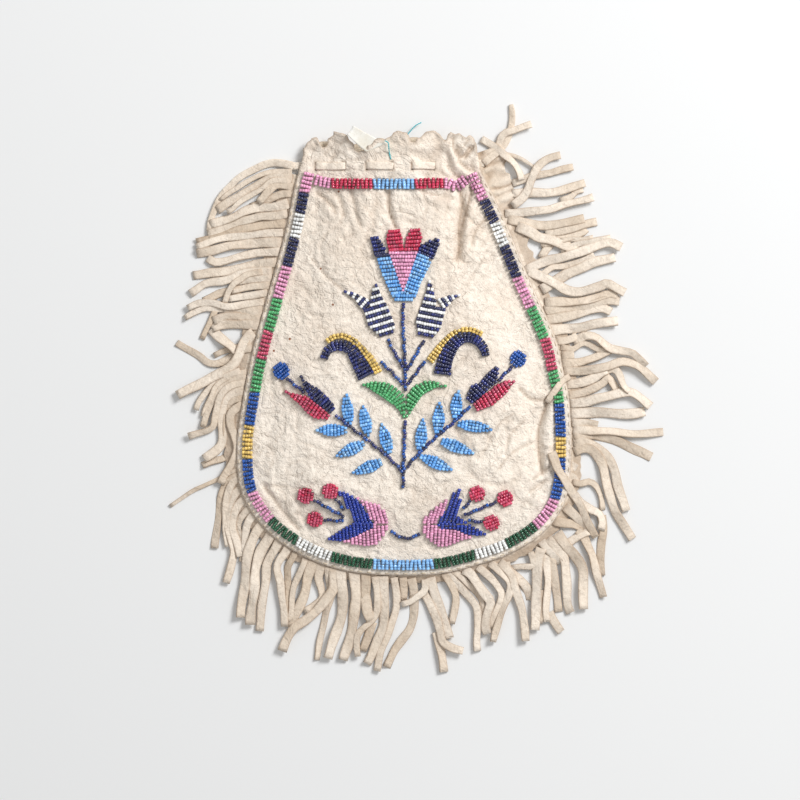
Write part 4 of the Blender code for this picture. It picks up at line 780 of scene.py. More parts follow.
RIGHT_THONGS = [
    (5.0, 1, [(14.5, -114), (17, -123), (20, -132), (23, -140), (25, -147.5)]),
    (4.4, 2, [(11, -123), (14, -128), (17.5, -136), (20, -144.5), (21.5, -149.5), (27, -153),
              (32.5, -154.5)]),
    (4.7, 1, [(18, -144), (20, -153), (21, -159), (22, -166)]),
    (3.9, 1, [(22, -111), (26, -118.5), (28.5, -125), (28, -132), (26, -139.5)]),
    (4.1, 1, [(23, -110.5), (28.5, -117), (34, -123), (39, -128.5), (40.5, -133), (40.5, -140), (40, -148.5),
              (40.5, -154.5)]),
    (3.3, 0, [(26.5, -110), (30.5, -113), (35, -117.5), (39.5, -121.5), (42.5, -126.5), (43, -133),
              (42, -142)]),
    (5.0, 2, [(32.5, -109.5), (36, -111.5), (40, -117), (44, -122.5), (47.5, -127.5), (46, -132.5),
              (45, -137), (45, -142), (46, -145)]),
    (3.9, 1, [(40.5, -108), (48, -114.5), (51.5, -119), (53.5, -123), (52.5, -129), (49.5, -135.5),
              (47.5, -142)]),
    (3.9, 2, [(47, -106), (50, -108), (54, -112), (58, -117), (58, -122.5), (55, -130), (52.5, -136.5),
              (50.5, -143), (49, -149.5)]),
    (5.0, 0, [(55.5, -105.5), (56.5, -109.5), (62, -114), (66.5, -118.5), (69, -122.5), (69.5, -126.5)]),
    (4.4, 2, [(52.5, -105.5), (55.5, -108), (59.5, -113.5), (60.5, -118.5), (62, -123), (64.5, -130),
              (65.5, -136.5), (66.5, -144), (67, -149)]),
    (3.3, 1, [(69.5, -100), (71, -104.5), (70.5, -108), (64, -108), (59, -108.5)]),
    (5.5, 2, [(75.5, -98), (74, -102.5), (73, -110), (73, -121), (72.5, -132), (72, -143)]),
    (5.0, 1, [(75.5, -121), (75, -130), (73.5, -139)]),
    (4.1, 1, [(78, -100.5), (78.5, -107.5), (79, -115.5), (78.5, -124.5), (78, -132), (78.5, -138.5)]),
    (4.4, 0, [(81, -102.5), (82, -109.5), (83, -117), (84.5, -125.5), (85, -133)]),
    (4.4, 1, [(80, -133), (81.5, -136.5), (83.5, -140), (86.5, -144)]),
    (4.4, 1, [(75.5, -94), (78.5, -98), (82.5, -102), (86, -106)]),
    (5.0, 1, [(79, -92.5), (83.5, -97.5), (88, -103), (89, -113), (89.5, -121), (90, -129), (91.5, -133.5)]),
    (5.5, 2, [(84, -89.5), (89, -96.5), (94, -102), (98, -109), (98.5, -116.5), (98.5, -124.5),
              (98.5, -131.5)]),
    (4.4, 1, [(95.5, -88), (99, -92), (101, -96.5), (103.5, -102.5), (105.5, -110), (108, -119),
              (109.5, -125)]),
    (4.4, 0, [(108.5, -80), (109.5, -88), (108.5, -96.5), (108, -104.5), (108.5, -113)]),
    (5.0, 1, [(88.5, -75), (94, -80), (98.5, -84.5), (102.5, -89)]),
    (5.0, 0, [(82, -82.5), (87.5, -84), (94, -85), (98.5, -87)]),
    (4.4, 1, [(87, -98), (92, -94), (97, -91), (102, -88.5)]),
    (4.4, 3, [(81, -45), (83, -50), (84, -53.5), (87.5, -59.5), (92, -66.5), (96.5, -73.5), (100, -82),
              (103.5, -88), (105.5, -92)]),
    (5.0, 2, [(84.5, -47.5), (89.5, -50.5), (95, -54)]),
    (4.4, 1, [(86.5, -57), (90, -57), (94, -60), (95, -64)]),
    (3.3, 0, [(92.5, -61.5), (97, -62.5), (102.5, -61.5), (106.5, -65), (108.5, -70.5), (109, -77)]),
    (4.4, 1, [(93.5, -68), (97, -73), (102.5, -76.5), (107.5, -79), (109, -83.5), (108, -88)]),
    (5.0, 1, [(93.5, -45), (98, -43), (102.5, -43.5), (106.5, -47.5), (109.5, -53.5), (111, -60.5),
              (113, -69), (116, -77.5), (120, -84), (125.5, -93)]),
    (5.0, 1, [(93, -40), (98.5, -39.5), (105.5, -42.5), (112, -48), (115.5, -55), (117.5, -63.5),
              (120, -70.5), (122, -77.5)]),
    (5.5, 0, [(93, -36.5), (102.5, -35), (110, -36.5), (117, -39), (124.5, -42.5), (131, -45.5), (136, -48)]),
    (4.4, 1, [(93, -32.5), (106.5, -33.5), (115.5, -34), (125, -35), (134, -35), (142.5, -34)]),
    (4.4, 1, [(92, -29), (100, -29), (106.5, -30.5)]),
    (5.5, 1, [(91.5, -24), (100, -23.5), (110, -23.5), (119, -24), (127, -24), (132.5, -23)]),
    (5.0, 2, [(91, -18.5), (100, -17.5), (106.5, -15.5), (113.5, -14), (120, -12.5), (125.5, -12.5),
              (131, -16), (135.5, -20)]),
    (4.4, 1, [(89.5, -14), (98, -12.5), (104.5, -10), (110, -6.5), (112, -3.5), (114.5, -7), (117, -11.5)]),
    (3.9, 2, [(108, -2), (114, 0.5), (117, -0.5), (119, -4), (121, -9), (124, -12)]),
    (5.0, 1, [(88.5, -8), (97, -7), (103.5, -5), (108.5, -1.5), (111.5, 0)]),
    (3.3, 3, [(91, -3.5), (87, -6), (83.5, -10.5), (80.5, -14.5), (78.5, -18)]),
    (4.7, 2, [(87.5, -0.5), (98, -0.5), (105.5, 0.5), (113, 2.5), (119, 4.5), (125, 3.5), (131, 0.5),
              (138.5, -6.5)]),
    (4.4, 1, [(86.5, 4), (94.5, 4), (101, 5.5), (106.5, 7.5), (112, 10.5), (116.5, 12)]),
    (4.4, 1, [(86.5, 8), (93.5, 8.5)]),
    (3.0, 1, [(86, 12.5), (93.5, 11.5), (96.5, 14), (100.5, 14.5), (106.5, 11.5), (111, 11)]),
    (4.4, 2, [(93, 15), (97, 17.5), (100.5, 19), (105.5, 18), (109, 15), (113, 12), (117.5, 11), (125, 9.5),
              (128.5, 6.5), (133, 2)]),
    (4.4, 1, [(83, 16.5), (87, 16), (91.5, 17), (95, 19)]),
    (5.5, 1, [(78.5, 21.5), (88, 22.5), (95.5, 23), (103.5, 25), (110, 26), (117.5, 27)]),
    (5.0, 1, [(77.5, 27.5), (87, 29), (95.5, 31), (103.5, 33.5), (109.5, 34), (114, 32)]),
    (5.0, 1, [(77, 32.5), (87.5, 34), (95, 34), (102.5, 35.5), (108.5, 37.5), (113.5, 38.5), (118.5, 38)]),
    (5.0, 1, [(77.5, 37), (85, 37.5), (93.5, 37.5), (101, 38.5), (107.5, 40.5), (113.5, 42), (117.5, 41)]),
    (5.0, 2, [(66, 56), (69.5, 54), (76.5, 51), (83, 47.5), (89, 44), (95, 43), (101, 44), (108, 46),
              (112, 47.5), (117, 45), (121.5, 42.5)]),
    (5.5, 1, [(75.5, 44), (84.5, 49.5), (91, 53.5), (97, 56), (103.5, 59), (110, 60.5), (116, 62)]),
    (3.3, 1, [(73.5, 49.5), (77.5, 53.5), (82, 56.5), (87, 57), (93, 58.5), (99, 60.5), (104.5, 63.5)]),
    (5.0, 2, [(66.5, 54), (71, 57), (78.5, 60), (86, 61.5), (93.5, 64), (100, 66), (107.5, 68.5), (113.5, 70),
              (119.5, 67.5)]),
    (3.3, 1, [(86, 66), (96.5, 69.5), (101, 70), (106, 71.5), (113.5, 73)]),
    (2.8, 1, [(86, 71), (92.5, 72), (98, 71.5), (104, 73)]),
    (5.5, 1, [(62, 79), (69.5, 76), (74, 73), (79, 72), (85, 70), (91, 67.5), (95, 65.5)]),
    (5.0, 0, [(75, 70), (81.5, 71), (87.5, 72), (93.5, 74), (98.5, 76.5), (100, 78)]),
    (4.4, 0, [(77.5, 75.5), (86, 76.5), (93, 78), (99.5, 80), (106, 81.5)]),
    (4.4, 0, [(75.5, 61.5), (78, 66), (81.5, 70)]),
    (4.7, 1, [(57, 83), (66.5, 81), (75, 79.5), (83, 80), (91.5, 81.5), (99, 83.5)]),
    (4.4, 2, [(55.5, 86), (65, 86.5), (73, 87.5), (80.5, 88.5), (89, 91), (97, 93), (104, 95)]),
    (4.7, 1, [(59.5, 97), (69.5, 97.5), (79, 97.5), (86, 98.5), (92.5, 100.5), (99.5, 103)]),
    (3.3, 0, [(86, 93), (91.5, 95), (95, 98), (98.5, 99)]),
    (3.9, 1, [(59.5, 102.5), (65, 104.5), (70.5, 106.5), (75, 107.5), (80.5, 108.5), (86, 110), (93, 111.5)]),
    (4.4, 2, [(59.5, 90), (65, 94.5), (68, 99), (69.5, 103), (71.5, 107.5), (73.5, 111.5), (77, 115),
              (81, 117), (86, 118)]),
    (1.9, 1, [(51.5, 120), (55.5, 119), (61, 117.5), (66.5, 115), (71, 112)]),
    (3.9, 2, [(42.5, 127), (46, 125), (50, 122.5), (54, 119), (58.5, 115.5), (61, 113), (63.5, 108.5),
              (64.5, 104.5)]),
    (3.9, 2, [(51, 120), (52.5, 124), (53.5, 127.5), (56, 130.5), (61, 132), (65, 133.5), (70, 135)]),
]


def sideways(line, stops):
    """Directions square to a line at distances along it."""
    run = travelled(line)
    return np.stack([np.interp(stops, run, rightward(line)[:, k]) for k in range(2)], axis=1)


def grid_cells(rows, columns):
    """Number of the first point of each cell in a grid of points."""
    return (np.arange(rows - 1)[:, None] * columns + np.arange(columns - 1)).ravel()


def band(line, start, end, widths):
    """The uncut part of a strip, from inside the seam to the foot of the thongs."""
    places = np.arange(start, end, BAND_CELL)
    foot = at_distances(line, places)
    square = sideways(line, places)
    uncut = np.interp(np.linspace(0, 1, len(places)), *zip(*widths))
    outer = uncut * (1 + 0.35 * wave(foot, 4.0, 6.0))
    shares = np.linspace(0, 1, BAND_ROWS)
    rows = [foot - square * SEAM_TUCK] + [foot + square * (outer * s)[:, None] for s in shares]
    heights = [SEAM_HEIGHT] + [SEAM_HEIGHT - (SEAM_HEIGHT - BAND_FOOT_HEIGHT) * s ** 0.7 for s in shares]
    count, deep = len(places), len(rows)
    points = np.stack(rows, axis=1).reshape(-1, 2)
    outward = ((points - np.repeat(foot, deep, axis=0)) * np.repeat(square, deep, axis=0)).sum(1)
    crumpled = 0.2 + 2.4 * np.clip((np.repeat(outer, deep) - 8) / 5, 0, 1) * np.clip(outward / 2.5, 0, 1)
    across_strip = np.column_stack([np.repeat(places, deep), 0.3 * outward])
    crease = falloff(wave(across_strip, 5.5, 8.0), 0.12)
    bumps = wave(across_strip, 3.8, 2.0) - 0.4 * crease
    half = THONG_THICKNESS / 2
    middle = np.maximum(np.tile(heights, count) + crumpled * bumps, half + FLOOR_GAP)
    first = grid_cells(count, deep)
    quads = np.stack([first + deep, first + deep + 1, first + 1, first], axis=1)
    # Painted shade in the slits between the thongs
    between = PAINTED_SLIT_SHADE * (np.repeat(uncut, deep) < 9.5) * (np.arange(count * deep) % deep > deep / 4)
    # Painted shade in the hollow under the rolled end
    hollow = 0.8 * close_to(points, *PAINTED_HOLLOW_SHADE)
    # Painted shade in the valleys of the crumpled band and along its creases
    folded = np.clip(-0.45 * crumpled * bumps, 0, 0.45) + 0.30 * crease
    soil = np.tile(np.clip(np.maximum.reduce([between, folded, hollow]), 0, 0.8), 2)
    return (*thick(points, middle + half, middle - half, quads), soil)


def fringe(name, thongs, line, start, end, widths, seed):
    """One strip: its band and all its thongs, joined into one piece; and the area of hide in it."""
    chance = random.Random(seed)
    points, faces, band_painted_shade = band(line, start, end, widths)
    tones, soils_and_painted_shade = [0.25] * len(points), list(band_painted_shade)
    points = [points]
    count = len(points[0])
    area = (end - start) * (SEAM_TUCK + np.mean([width for _, width in widths]))
    for width, level, route in thongs:
        line = smooth_line(route, THONG_STEP)
        run = travelled(line)
        fall = np.clip(run / FALL_RUN, 0, 1)
        fall = fall * fall * (3 - 2 * fall)
        from_seam = nearest_on(SEAM_EDGE, line[:1])[0][0] < ROOT_REACH
        begin = SEAM_HEIGHT + 0.25 if from_seam else LOOSE_START_HEIGHT
        height = begin + (LEVEL_HEIGHTS[level] - begin) * fall
        phase = chance.uniform(0, 6.28)
        height = height + 0.25 * np.sin(run / chance.uniform(4, 8) + phase) * fall
        share = run / run[-1]
        turned = math.radians(chance.uniform(8, 34)) * np.sin(run / chance.uniform(6, 13) + phase) * fall
        taper = (1 - 0.12 * share) * (1 + 0.06 * np.sin(run / 3.1 + phase))
        line = line + rightward(line) * (0.14 * np.sin(run / 3.7 + 2 * phase) * fall)[:, None]
        if level == 3:
            on_bag = hide_surface(line)[0] + BEAD_ROOM + THONG_THICKNESS / 2
            height = np.where(inside(front_outline, line), on_bag, height)
            height = np.convolve(np.pad(height, 2, mode="edge"), np.ones(5) / 5, mode="valid")
        shape, skin = flat_thong(np.column_stack([line, height]), width * FULLNESS * taper, THONG_THICKNESS,
                                 turned)
        shape[:, 2] = np.maximum(shape[:, 2], FLOOR_GAP)
        points.append(shape)
        faces += [[index + count for index in face] for face in skin]
        count += len(shape)
        # The lowest thongs are painted darker: painted shade under the thongs that lie over them
        tone = chance.uniform(-0.3, 0.4) + (0.35 if level == 0 else 0)
        tones += [tone] * len(shape)
        # Painted shade at the roots of thongs that come out of the seam
        root = 0.28 * falloff(run, 4) * from_seam
        # At the sides of each thong: soil of the cut edges, and painted shade between the thongs
        edge = EDGE_SOIL_AND_SHADE * np.abs(np.cos(SIDE_TURNS)) ** 2.5
        soils_and_painted_shade += list(np.maximum(root[:, None], edge).ravel())
        area += width * FULLNESS * max(0.0, run[-1] - 5)
    piece = mesh_piece(f"{name}_thongs", np.vstack(points), faces, [THONG_FINISH],
                       {"tone": tones, "soil": soils_and_painted_shade})
    dress(piece, "thong", name)
    return piece, area


seam_length = travelled(SEAM_EDGE)[-1]
right_line = np.vstack([SEAM_EDGE, TORN_END])
meeting = seam_length * MEETING
for name, thongs, line, start, end, widths, seed in (
        ("fringe_left", LEFT_THONGS, SEAM_EDGE, 3.0, meeting, LEFT_BAND, 5),
        ("fringe_right", RIGHT_THONGS, right_line, meeting + 0.5, travelled(right_line)[-1], RIGHT_BAND, 9)):
    strip, hide_area = fringe(name, thongs, line, start, end, widths, seed)


# Seam sewing: a running stitch of sinew through both panels and the fringe strip, close to the edge
# of the front panel, nearly lost in the nap.
STITCH_PITCH = 5.0
STITCH_LENGTH = 2.6
STITCH_WIDTH = 0.4
STITCH_INSET = 1.1
# Heights along a stitch over the hide: its ends go in, its middle lies on top
STITCH_LIFT = (-0.25, 0.12, 0.12, -0.25)

stitch_points, stitch_faces = [], []
for place in np.arange(8.0, seam_length - 8.0, STITCH_PITCH):
    ends = at_distances(SEAM_EDGE, np.linspace(place, place + STITCH_LENGTH, 4))
    ends = ends - rightward(ends) * STITCH_INSET
    lift = hide_surface(ends)[0] + STITCH_LIFT
    shape, skin = flat_thong(np.column_stack([ends, lift]), STITCH_WIDTH, STITCH_WIDTH)
    stitch_faces += [[index + SIDES * 4 * len(stitch_points) for index in face] for face in skin]
    stitch_points.append(shape)
SINEW_FINISH = hide_finish("sinew", (0.74, 0.63, 0.47, 1), (0.58, 0.46, 0.32, 1), 0.0001)
sewing = mesh_piece("seam_sewing", np.vstack(stitch_points), stitch_faces, [SINEW_FINISH])
dress(sewing, "hide")


# Laced drawstring: the middle of the long hide thong, run in and out of the six slits. It shows as
# three short pale straps on the front and goes on inside the pouch between them.
STRAP_WIDTH = 4.0
STRAP_THICKNESS = 1.1

strap_x = np.linspace(LEFT_LACE[0][0] - 0.4, RIGHT_LACE[0][0] + 0.4, 140)
strap_line = np.column_stack([strap_x, np.full(len(strap_x), LACING_LINE)])
over_height = hide_surface(strap_line)[0] + STRAP_THICKNESS / 2 + 0.05
under_height = hide_underside(strap_line)[0] - STRAP_THICKNESS / 2 - 0.4
shown = np.zeros(len(strap_x), bool)
for first_slit, second_slit in zip(SLITS[::2], SLITS[1::2]):
    shown |= (strap_x > first_slit - 0.2) & (strap_x < second_slit + 0.2)
strap_height = np.where(shown, over_height, under_height)
corner = (strap_x < SEAM_EDGE[0, 0] + 5) | (strap_x > SEAM_EDGE[-1, 0] - 4)
strap_height = np.where(corner, HIDE_THICKNESS + GAP + STRAP_THICKNESS / 2, strap_height)
strap_height = np.convolve(np.pad(strap_height, 1, mode="edge"), [0.25, 0.5, 0.25], mode="valid")
strap_line[:, 1] += 0.25 * np.sin(strap_x / 5) + 1.5 * np.clip((strap_x - 37) / 6, 0, 1)
strap_shape = flat_thong(np.column_stack([strap_line, strap_height]), STRAP_WIDTH, STRAP_THICKNESS,
                         0.08 * np.sin(strap_x / 4))
strap = mesh_piece("drawstring_laced", *strap_shape, [THONG_FINISH],
                   {"tone": np.full(len(strap_shape[0]), -0.25)})
dress(strap, "thong", "drawstring")


# Paper tag: a small slip of plain card tied to the bag, lying over a notch of the mouth with its
# lower edge curled up.
TAG_CORNERS = [(-31, 129), (-28, 134), (-9.5, 124.5), (-20.5, 119.5)]
TAG_THICKNESS = 0.3
TAG_CELLS = (22, 12)

across_tag = np.linspace(0, 1, TAG_CELLS[0])[None, :, None]
down_tag = np.linspace(0, 1, TAG_CELLS[1])[:, None, None]
low_left, high_left, high_right, low_right = (np.array(corner_place, float) for corner_place in TAG_CORNERS)
tag_points = ((high_left * (1 - across_tag) + high_right * across_tag) * (1 - down_tag)
              + (low_left * (1 - across_tag) + low_right * across_tag) * down_tag).reshape(-1, 2)
tag_down = np.repeat(np.linspace(0, 1, TAG_CELLS[1]), TAG_CELLS[0])
tag_across = np.tile(np.linspace(0, 1, TAG_CELLS[0]), TAG_CELLS[1])
tag_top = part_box("paper_tag")[1].z / MM + 0.9 * tag_down ** 3 + 0.25 * np.sin(tag_across * 5)
tag_points += np.column_stack([0.3 * np.sin(tag_down * 4), -0.5 * np.sin(tag_across * 3)])
first = grid_cells(TAG_CELLS[1], TAG_CELLS[0])
tag_quads = np.stack([first, first + TAG_CELLS[0], first + TAG_CELLS[0] + 1, first + 1], axis=1)
tag_shape = thick(tag_points, tag_top, tag_top - TAG_THICKNESS, tag_quads)
PAPER_FINISH, paper_tree, paper_shader = new_finish("aged card")
place = node(paper_tree, "ShaderNodeTexCoord").outputs["Object"]
fibres, yellowing = speckle(paper_tree, place, 900.0, 3.0), speckle(paper_tree, place, 120.0, 3.0)
aged = spread(paper_tree, yellowing, 0.35, 0.7)
card = mixed(paper_tree, aged, (0.90, 0.89, 0.85, 1), (0.78, 0.73, 0.62, 1))
card = mixed(paper_tree, spread(paper_tree, fibres, 0.55, 0.8), card, (0.70, 0.66, 0.57, 1))
paper_bump = node(paper_tree, "ShaderNodeBump", {"Height": fibres, "Distance": 0.0001, "Strength": 0.5})
feed(paper_tree, paper_shader, {"Base Color": card, "Roughness": 0.85, "Normal": paper_bump.outputs[0]})
paper_tag = mesh_piece("tag_slip", *tag_shape, [PAPER_FINISH])
dress(paper_tag, "paper", "paper_tag")


# Tag thread: turquoise cotton of two twisted strands that ties the tag on. It lies over the mouth,
# goes in at a slit and comes out past the edge of the notch.
THREAD_TWIST = 2.2
THREAD_RADIUS = 0.17
THREAD_OVER = [(-10.5, 125.5), (-8.6, 124.2), (-8.2, 120), (-7.2, 115.5)]
THREAD_BESIDE = [(-2, 124), (2.5, 130), (6, 134), (9.5, 136)]
# Height of the thread over the hide and over the tag, and over the table where it lies beside the bag
THREAD_LIFT = 0.5
THREAD_OVER_TAG = 0.3
TAG_REACHES_DOWN_TO = 120.5
THREAD_BESIDE_HEIGHT = 2.6

thread_points, thread_faces = [], []
for route, beside_height in ((THREAD_OVER, None), (THREAD_BESIDE, THREAD_BESIDE_HEIGHT)):
    line = smooth_line(route, 0.35)
    if beside_height is None:
        on_tag = np.where(line[:, 1] > TAG_REACHES_DOWN_TO, tag_top.max() + THREAD_OVER_TAG, 0)
        base = np.maximum(hide_surface(line)[0] + THREAD_LIFT, on_tag)
        base = np.convolve(np.pad(base, 4, mode="edge"), np.ones(9) / 9, mode="valid")
    else:
        base = np.full(len(line), beside_height)
    twist = travelled(line) / THREAD_TWIST * 2 * math.pi
    for start_turn in (0, math.pi):
        offset = rightward(line) * (THREAD_RADIUS * np.cos(twist + start_turn))[:, None]
        strand = np.column_stack([line + offset, base + THREAD_RADIUS * np.sin(twist + start_turn)])
        shape, skin = flat_thong(strand, THREAD_RADIUS * 2.1, THREAD_RADIUS * 2.1)
        begun = sum(len(made) for made in thread_points)
        thread_faces += [[index + begun for index in face] for face in skin]
        thread_points.append(shape)
THREAD_FINISH, thread_tree, thread_shader = new_finish("turquoise cotton")
fuzz = node(thread_tree, "ShaderNodeTexNoise", {"Scale": 2600.0, "Detail": 2.0}).outputs["Fac"]
dyed = mixed(thread_tree, spread(thread_tree, fuzz, 0.35, 0.65), (0.03, 0.38, 0.45, 1), (0.12, 0.62, 0.68, 1))
feed(thread_tree, thread_shader, {"Base Color": dyed, "Roughness": 0.8})
tag_thread = mesh_piece("tag_thread_strands", np.vstack(thread_points), thread_faces, [THREAD_FINISH])
dress(tag_thread, "thread", "tag_thread")


# Bead border: glass seed beads about 2 mm across, strung four at a time and couched down in rows
# square to the lane, in blocks of colour. One lane runs round the bag and one under the mouth.
BEAD_DIAMETER = 2.02
BEAD_LENGTH = 1.46
# Painted shade in the crevices between beads: how much darker the low side of each bead is painted
PAINTED_CREVICE_SHADE = 1.15
ROW_PITCH = 2.06
BORDER_PITCH = 2.3
BEADS_ACROSS = 4
BEAD_SIDES = 9
# How much beads differ: place in millimetres, way in radians, size, and the limits of the size
BEAD_SCATTER = (0.05, 0.04, 0.035)
BEAD_SIZES = (0.92, 1.06)
# How high a bead's middle sits over the hide, in diameters, and how far off its slope is felt
BEAD_SEAT = 0.46
SLOPE_REACH = 0.8
GLASS = {
    "navy": (0.010, 0.014, 0.075), "royal": (0.010, 0.085, 0.37), "blue": (0.13, 0.38, 0.80),
    "light_blue": (0.27, 0.54, 0.90), "pink": (0.82, 0.37, 0.57), "red": (0.56, 0.028, 0.085),
    "green": (0.085, 0.40, 0.15), "dark_green": (0.004, 0.085, 0.033), "yellow": (0.78, 0.54, 0.15),
    "white": (0.92, 0.92, 0.90), "rose": (0.58, 0.075, 0.15), "violet": (0.014, 0.024, 0.17),
    "cobalt": (0.014, 0.042, 0.34),
}
BORDER_TOP_LINE = [(-51, 105), (-39.5, 102.5), (-17, 102), (6, 102), (22.5, 102.5), (28.5, 101), (34.5, 105)]
# Blocks of colour: the colour, and the length along the lane
LEFT_BLOCKS = [
    ("pink", 12), ("navy", 12), ("white", 12.5), ("navy", 16.5), ("pink", 18.5), ("green", 17),
    ("rose", 18), ("green", 18.5), ("royal", 18), ("yellow", 17), ("royal", 18.5), ("pink", 20),
    ("dark_green", 18.5), ("white", 20), ("dark_green", 22.5),
]
BOTTOM_BLOCKS = [("light_blue", 33.5)]
RIGHT_BLOCKS = [
    ("dark_green", 24), ("white", 17), ("dark_green", 19.5), ("pink", 18), ("royal", 23.5),
    ("yellow", 10), ("royal", 19.5), ("green", 17.5), ("rose", 18.5), ("green", 17.5), ("pink", 19),
    ("navy", 18.5), ("white", 14.5), ("navy", 14), ("pink", 15),
]
TOP_BLOCKS = [("pink", 9.5), ("red", 22), ("light_blue", 23), ("red", 16.5), ("pink", 14)]


def seed_bead_glass():
    """Node group: glass whose shade differs a little from bead to bead, and is darker where shade is painted
    in the crevices.
    """
    tree = bpy.data.node_groups.new("seed bead glass", "ShaderNodeTree")
    sockets(tree, "INPUT", ("Glass",), ("Tone",))
    sockets(tree, "OUTPUT", ("Colour",), ("Roughness",))
    given = node(tree, "NodeGroupInput").outputs
    shade = sums(tree, "ADD", sums(tree, "MULTIPLY", given["Tone"], 0.55), 0.72)
    cloud = speckle(tree, node(tree, "ShaderNodeTexCoord").outputs["Object"], 900.0, 1.0)
    shade = sums(tree, "ADD", shade, sums(tree, "MULTIPLY", sums(tree, "SUBTRACT", cloud, 0.5), 0.3))
    colour = node(tree, "ShaderNodeVectorMath", {0: given["Glass"], 3: shade}, operation="SCALE").outputs[0]
    rough = sums(tree, "ADD", sums(tree, "MULTIPLY", cloud, 0.22), 0.08)
    node(tree, "NodeGroupOutput", {"Colour": colour, "Roughness": rough})
    return tree


SEED_BEAD_GLASS = seed_bead_glass()
GLASS_FINISHES = {}


def glass_finish(colour):
    """Material of one colour of glass, made the first time that it is asked for."""
    if colour not in GLASS_FINISHES:
        finish, tree, shader = new_finish(f"{colour} glass")
        tone = node(tree, "ShaderNodeAttribute", attribute_name="tone").outputs["Fac"]
        look = node(tree, "ShaderNodeGroup", {"Glass": (*GLASS[colour], 1), "Tone": tone},
                    node_tree=SEED_BEAD_GLASS).outputs
        feed(tree, shader, {"Base Color": look["Colour"], "Roughness": look["Roughness"], "IOR": 1.52,
                            "Coat Weight": 0.25})
        GLASS_FINISHES[colour] = finish
    return GLASS_FINISHES[colour]


def bead_shape(sides):
    """A drawn-glass seed bead, its hole along X: a short barrel with rounded shoulders and a bore."""
    half, radius = BEAD_LENGTH / 2, BEAD_DIAMETER / 2
    profile = [(-0.8 * half, 0.30 * radius), (-half, 0.60 * radius), (-0.92 * half, 0.88 * radius),
               (-0.55 * half, radius), (0.55 * half, radius), (0.92 * half, 0.88 * radius),
               (half, 0.60 * radius), (0.8 * half, 0.30 * radius)]
    turn = np.arange(sides) * 2 * math.pi / sides
    points = [(x, r * math.cos(t), r * math.sin(t)) for x, r in profile for t in turn]
    rings = len(profile)
    faces = [[k * sides + j, ((k + 1) % rings) * sides + j, ((k + 1) % rings) * sides + (j + 1) % sides,
              k * sides + (j + 1) % sides] for k in range(rings) for j in range(sides)]
    return np.array(points), np.array(faces)[:, ::-1]


BEAD_POINTS, BEAD_FACES = bead_shape(BEAD_SIDES)


def sew_beads(name, slot, beads, *replaced):
    """Beads sewn to the front hide: each is (x, y, way of its hole, colour, extra height)."""
    chance = random.Random(name)
    places = np.array([bead[:2] for bead in beads], float)
    ways = np.array([bead[2] for bead in beads], float)
    lifts = np.array([bead[4] for bead in beads], float)
    spread_out = np.array([[chance.gauss(0, 1) for _ in range(5)] for _ in beads])
    places += spread_out[:, :2] * BEAD_SCATTER[0]
    ways += spread_out[:, 2] * BEAD_SCATTER[1]
    ahead = np.stack([np.cos(ways), np.sin(ways)], axis=1)
    before, after = (hide_surface(places + ahead * step)[0] for step in (-SLOPE_REACH, SLOPE_REACH))
    centre = np.column_stack([places, (before + after) / 2 + BEAD_DIAMETER * BEAD_SEAT + lifts])
    ahead = np.column_stack([ahead, (after - before) / (2 * SLOPE_REACH)])
    ahead /= np.linalg.norm(ahead, axis=1)[:, None]
    side = np.cross((0, 0, 1), ahead)
    side /= np.linalg.norm(side, axis=1)[:, None]
    up = np.cross(ahead, side)
    size = np.clip(1 + spread_out[:, 3] * BEAD_SCATTER[2], *BEAD_SIZES)[:, None, None]
    turned = (BEAD_POINTS[None, :, 0, None] * ahead[:, None] + BEAD_POINTS[None, :, 1, None] * side[:, None]
              + BEAD_POINTS[None, :, 2, None] * up[:, None]) * size
    points = (centre[:, None] + turned).reshape(-1, 3)
    faces = (BEAD_FACES[None] + (np.arange(len(beads)) * len(BEAD_POINTS))[:, None, None]).reshape(-1, 4)
    colours = sorted({bead[3] for bead in beads})
    finish_of = np.repeat([colours.index(bead[3]) for bead in beads], len(BEAD_FACES))
    # The low side of each bead is painted darker: painted shade in the crevices between beads and rows
    crevice_shade = PAINTED_CREVICE_SHADE * np.clip(0.85 - BEAD_POINTS[:, 2] / (BEAD_DIAMETER / 2), 0, 1)
    tone = (np.clip(0.62 + 0.28 * spread_out[:, 4], 0, 1.3)[:, None] - crevice_shade).ravel()
    piece = mesh_piece(name, points, faces.tolist(), [glass_finish(colour) for colour in colours],
                       {"tone": tone}, finish_of)
    dress(piece, slot, *replaced)


def border_beads(line, blocks):
    """Rows of four beads square to a lane, each row humped over its thread, in blocks of colour."""
    length = travelled(line)[-1]
    ends = np.cumsum([size for _, size in blocks])
    ends = ends * length / ends[-1]
    rows = round(length / BORDER_PITCH)
    stops = (np.arange(rows) + 0.5) * length / rows
    centres = at_distances(line, stops)
    square = rightward(centres)
    beads = []
    for row, (stop, (x, y), (dx, dy)) in enumerate(zip(stops, centres, square)):
        colour = blocks[int(np.searchsorted(ends, stop))][0]
        lean = 0.12 * math.sin(row * 1.9) + 0.07 * math.sin(row * 0.61)
        way = math.atan2(dy, dx) + lean
        for number in range(BEADS_ACROSS):
            offset = (number - (BEADS_ACROSS - 1) / 2) * BORDER_WIDTH / BEADS_ACROSS
            hump = 0.45 * (1 - (2 * offset / BORDER_WIDTH) ** 2)
            beads.append((x + math.cos(way) * offset, y + math.sin(way) * offset, way, colour, hump))
    return beads


